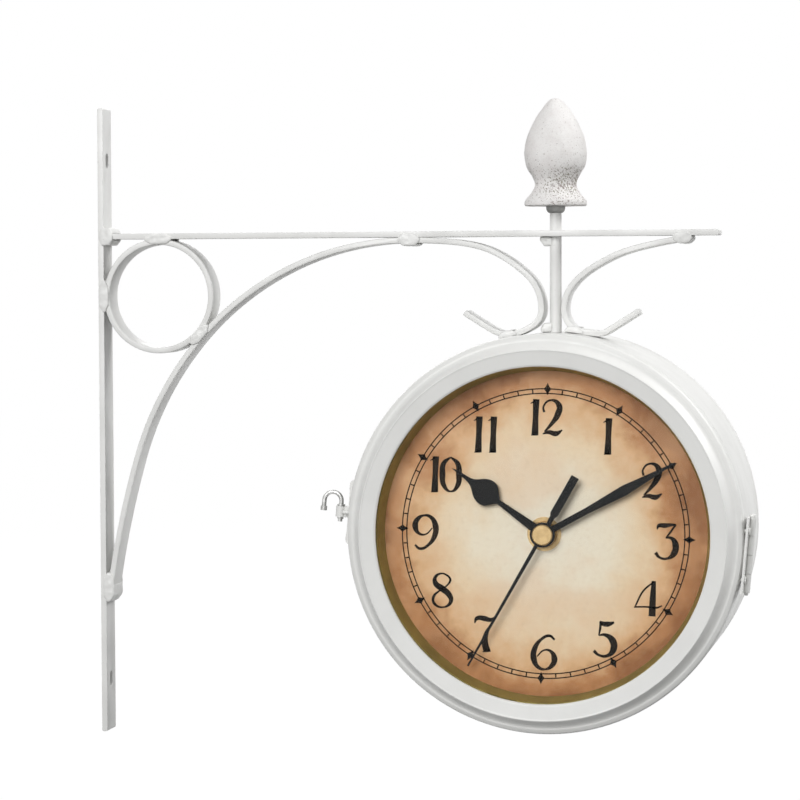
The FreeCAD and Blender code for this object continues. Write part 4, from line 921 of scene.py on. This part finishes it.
# %% Set up the camera
CAMERA_PLACE = Vector((0.46234, -1.36596, 0.07320))  # fitted, as are the three angles and the lens
CAMERA_LEFT, CAMERA_DOWN, CAMERA_ROLL = (math.radians(a) for a in (12.43, 2.51, 0.21))
LENS = 121.5

ahead = Vector((-math.sin(CAMERA_LEFT) * math.cos(CAMERA_DOWN), math.cos(CAMERA_LEFT) * math.cos(CAMERA_DOWN),
                -math.sin(CAMERA_DOWN)))
right = Vector((math.cos(CAMERA_LEFT), math.sin(CAMERA_LEFT), 0))
over = right.cross(ahead)
tilted_right = right * math.cos(CAMERA_ROLL) - over * math.sin(CAMERA_ROLL)
tilted_over = right * math.sin(CAMERA_ROLL) + over * math.cos(CAMERA_ROLL)
camera_data = bpy.data.cameras.new("camera")
camera_data.lens = LENS
camera_data.sensor_width = 36
camera_data.clip_start = 0.01
camera = bpy.data.objects.new("camera", camera_data)
turn = Matrix((tilted_right, tilted_over, -ahead)).transposed()
camera.matrix_world = Matrix.Translation(CAMERA_PLACE) @ turn.to_4x4()
bpy.context.scene.collection.objects.link(camera)
bpy.context.scene.camera = camera
print("camera lens", LENS)

# %% [markdown]
# ## Light and floor
#
# The picture is a plain studio shot on white. One large soft lamp in front and high gives form. A second one
# stands high on the right, almost level with the bracket, and brightens the sides that turn away from the
# wall. A third one behind keeps the rear dial readable, and the world fills in the rest. The white behind
# the clock isn't light: the world and the floor are white only for rays that come from the camera, a mirror
# or the glass.

# %% Light the clock
def soft_lamp(name, place, size, power):
    lamp = bpy.data.lights.new(name, "AREA")
    lamp.shape = "DISK"
    lamp.size = size
    lamp.energy = power
    stand = bpy.data.objects.new(name, lamp)
    stand.location = place
    stand.rotation_euler = (DRUM - Vector(place)).to_track_quat("-Z", "Y").to_euler()
    bpy.context.scene.collection.objects.link(stand)


LAMPS = {  # place, width across and power
    "key_lamp": ((-0.2, -2.2, 0.9), 1.5, 43),
    "side_lamp": ((2.1, 0.5, 1.5), 1.6, 46),
    "back_lamp": ((-0.9, 1.9, 1.0), 1.6, 12)}
for name, (place, size, power) in LAMPS.items():
    soft_lamp(name, place, size, power)
print("lamps:", ", ".join(LAMPS))

# %% White surroundings that light nothing
def seen_rays(tree):
    """1 for rays that only look at the surroundings, 0 for those that light the clock."""
    rays = tree.nodes.new("ShaderNodeLightPath")
    seen = rays.outputs["Is Camera Ray"]
    for kind in ("Is Glossy Ray", "Is Transmission Ray"):
        either = tree.nodes.new("ShaderNodeMath")
        either.operation = "MAXIMUM"
        tree.links.new(seen, either.inputs[0])
        tree.links.new(rays.outputs[kind], either.inputs[1])
        seen = either.outputs[0]
    return seen


WORLD_LIGHT = 0.21
world = bpy.data.worlds.new("studio")
bpy.context.scene.world = world
world.use_nodes = True
world.node_tree.nodes.clear()
dim = world.node_tree.nodes.new("ShaderNodeBackground")
dim.inputs["Strength"].default_value = WORLD_LIGHT
dim.inputs["Color"].default_value = (1, 1, 1, 1)
bright = world.node_tree.nodes.new("ShaderNodeBackground")
bright.inputs["Color"].default_value = (1, 1, 1, 1)
choice = world.node_tree.nodes.new("ShaderNodeMixShader")
sky = world.node_tree.nodes.new("ShaderNodeOutputWorld")
world.node_tree.links.new(seen_rays(world.node_tree), choice.inputs[0])
world.node_tree.links.new(dim.outputs[0], choice.inputs[1])
world.node_tree.links.new(bright.outputs[0], choice.inputs[2])
world.node_tree.links.new(choice.outputs[0], sky.inputs["Surface"])
print("light from the world:", WORLD_LIGHT)

# %% Lay the floor
FLOOR_DROP = 0.14
FLOOR_SIZE = 12
FLOOR_GREY = (0.15, 0.15, 0.148)
GLOW = 1.12
GLOW_SHARE = 0.88
start_clean()
bpy.ops.mesh.primitive_plane_add(size=FLOOR_SIZE, location=(DRUM.x, 0, model_box[0].z - FLOOR_DROP))
floor = bpy.context.object
floor.name = "floor"
ground = Finish("floor_white")
paper_floor = ground.surface(base_color=FLOOR_GREY, roughness=0.9)
glow = ground.node("ShaderNodeEmission", {}, {"Color": (1, 1, 1, 1), "Strength": GLOW})
share = Signal(ground, seen_rays(ground.tree)) * GLOW_SHARE
floor_mix = ground.node("ShaderNodeMixShader", {}, {0: share, 1: paper_floor, 2: glow})
ground.tree.links.new(floor_mix.socket, ground.output.inputs["Surface"])
floor.data.materials.append(ground.material)
print("floor below the clock by", FLOOR_DROP)

# %% Set the view transform
bpy.context.scene.view_settings.view_transform = "Standard"
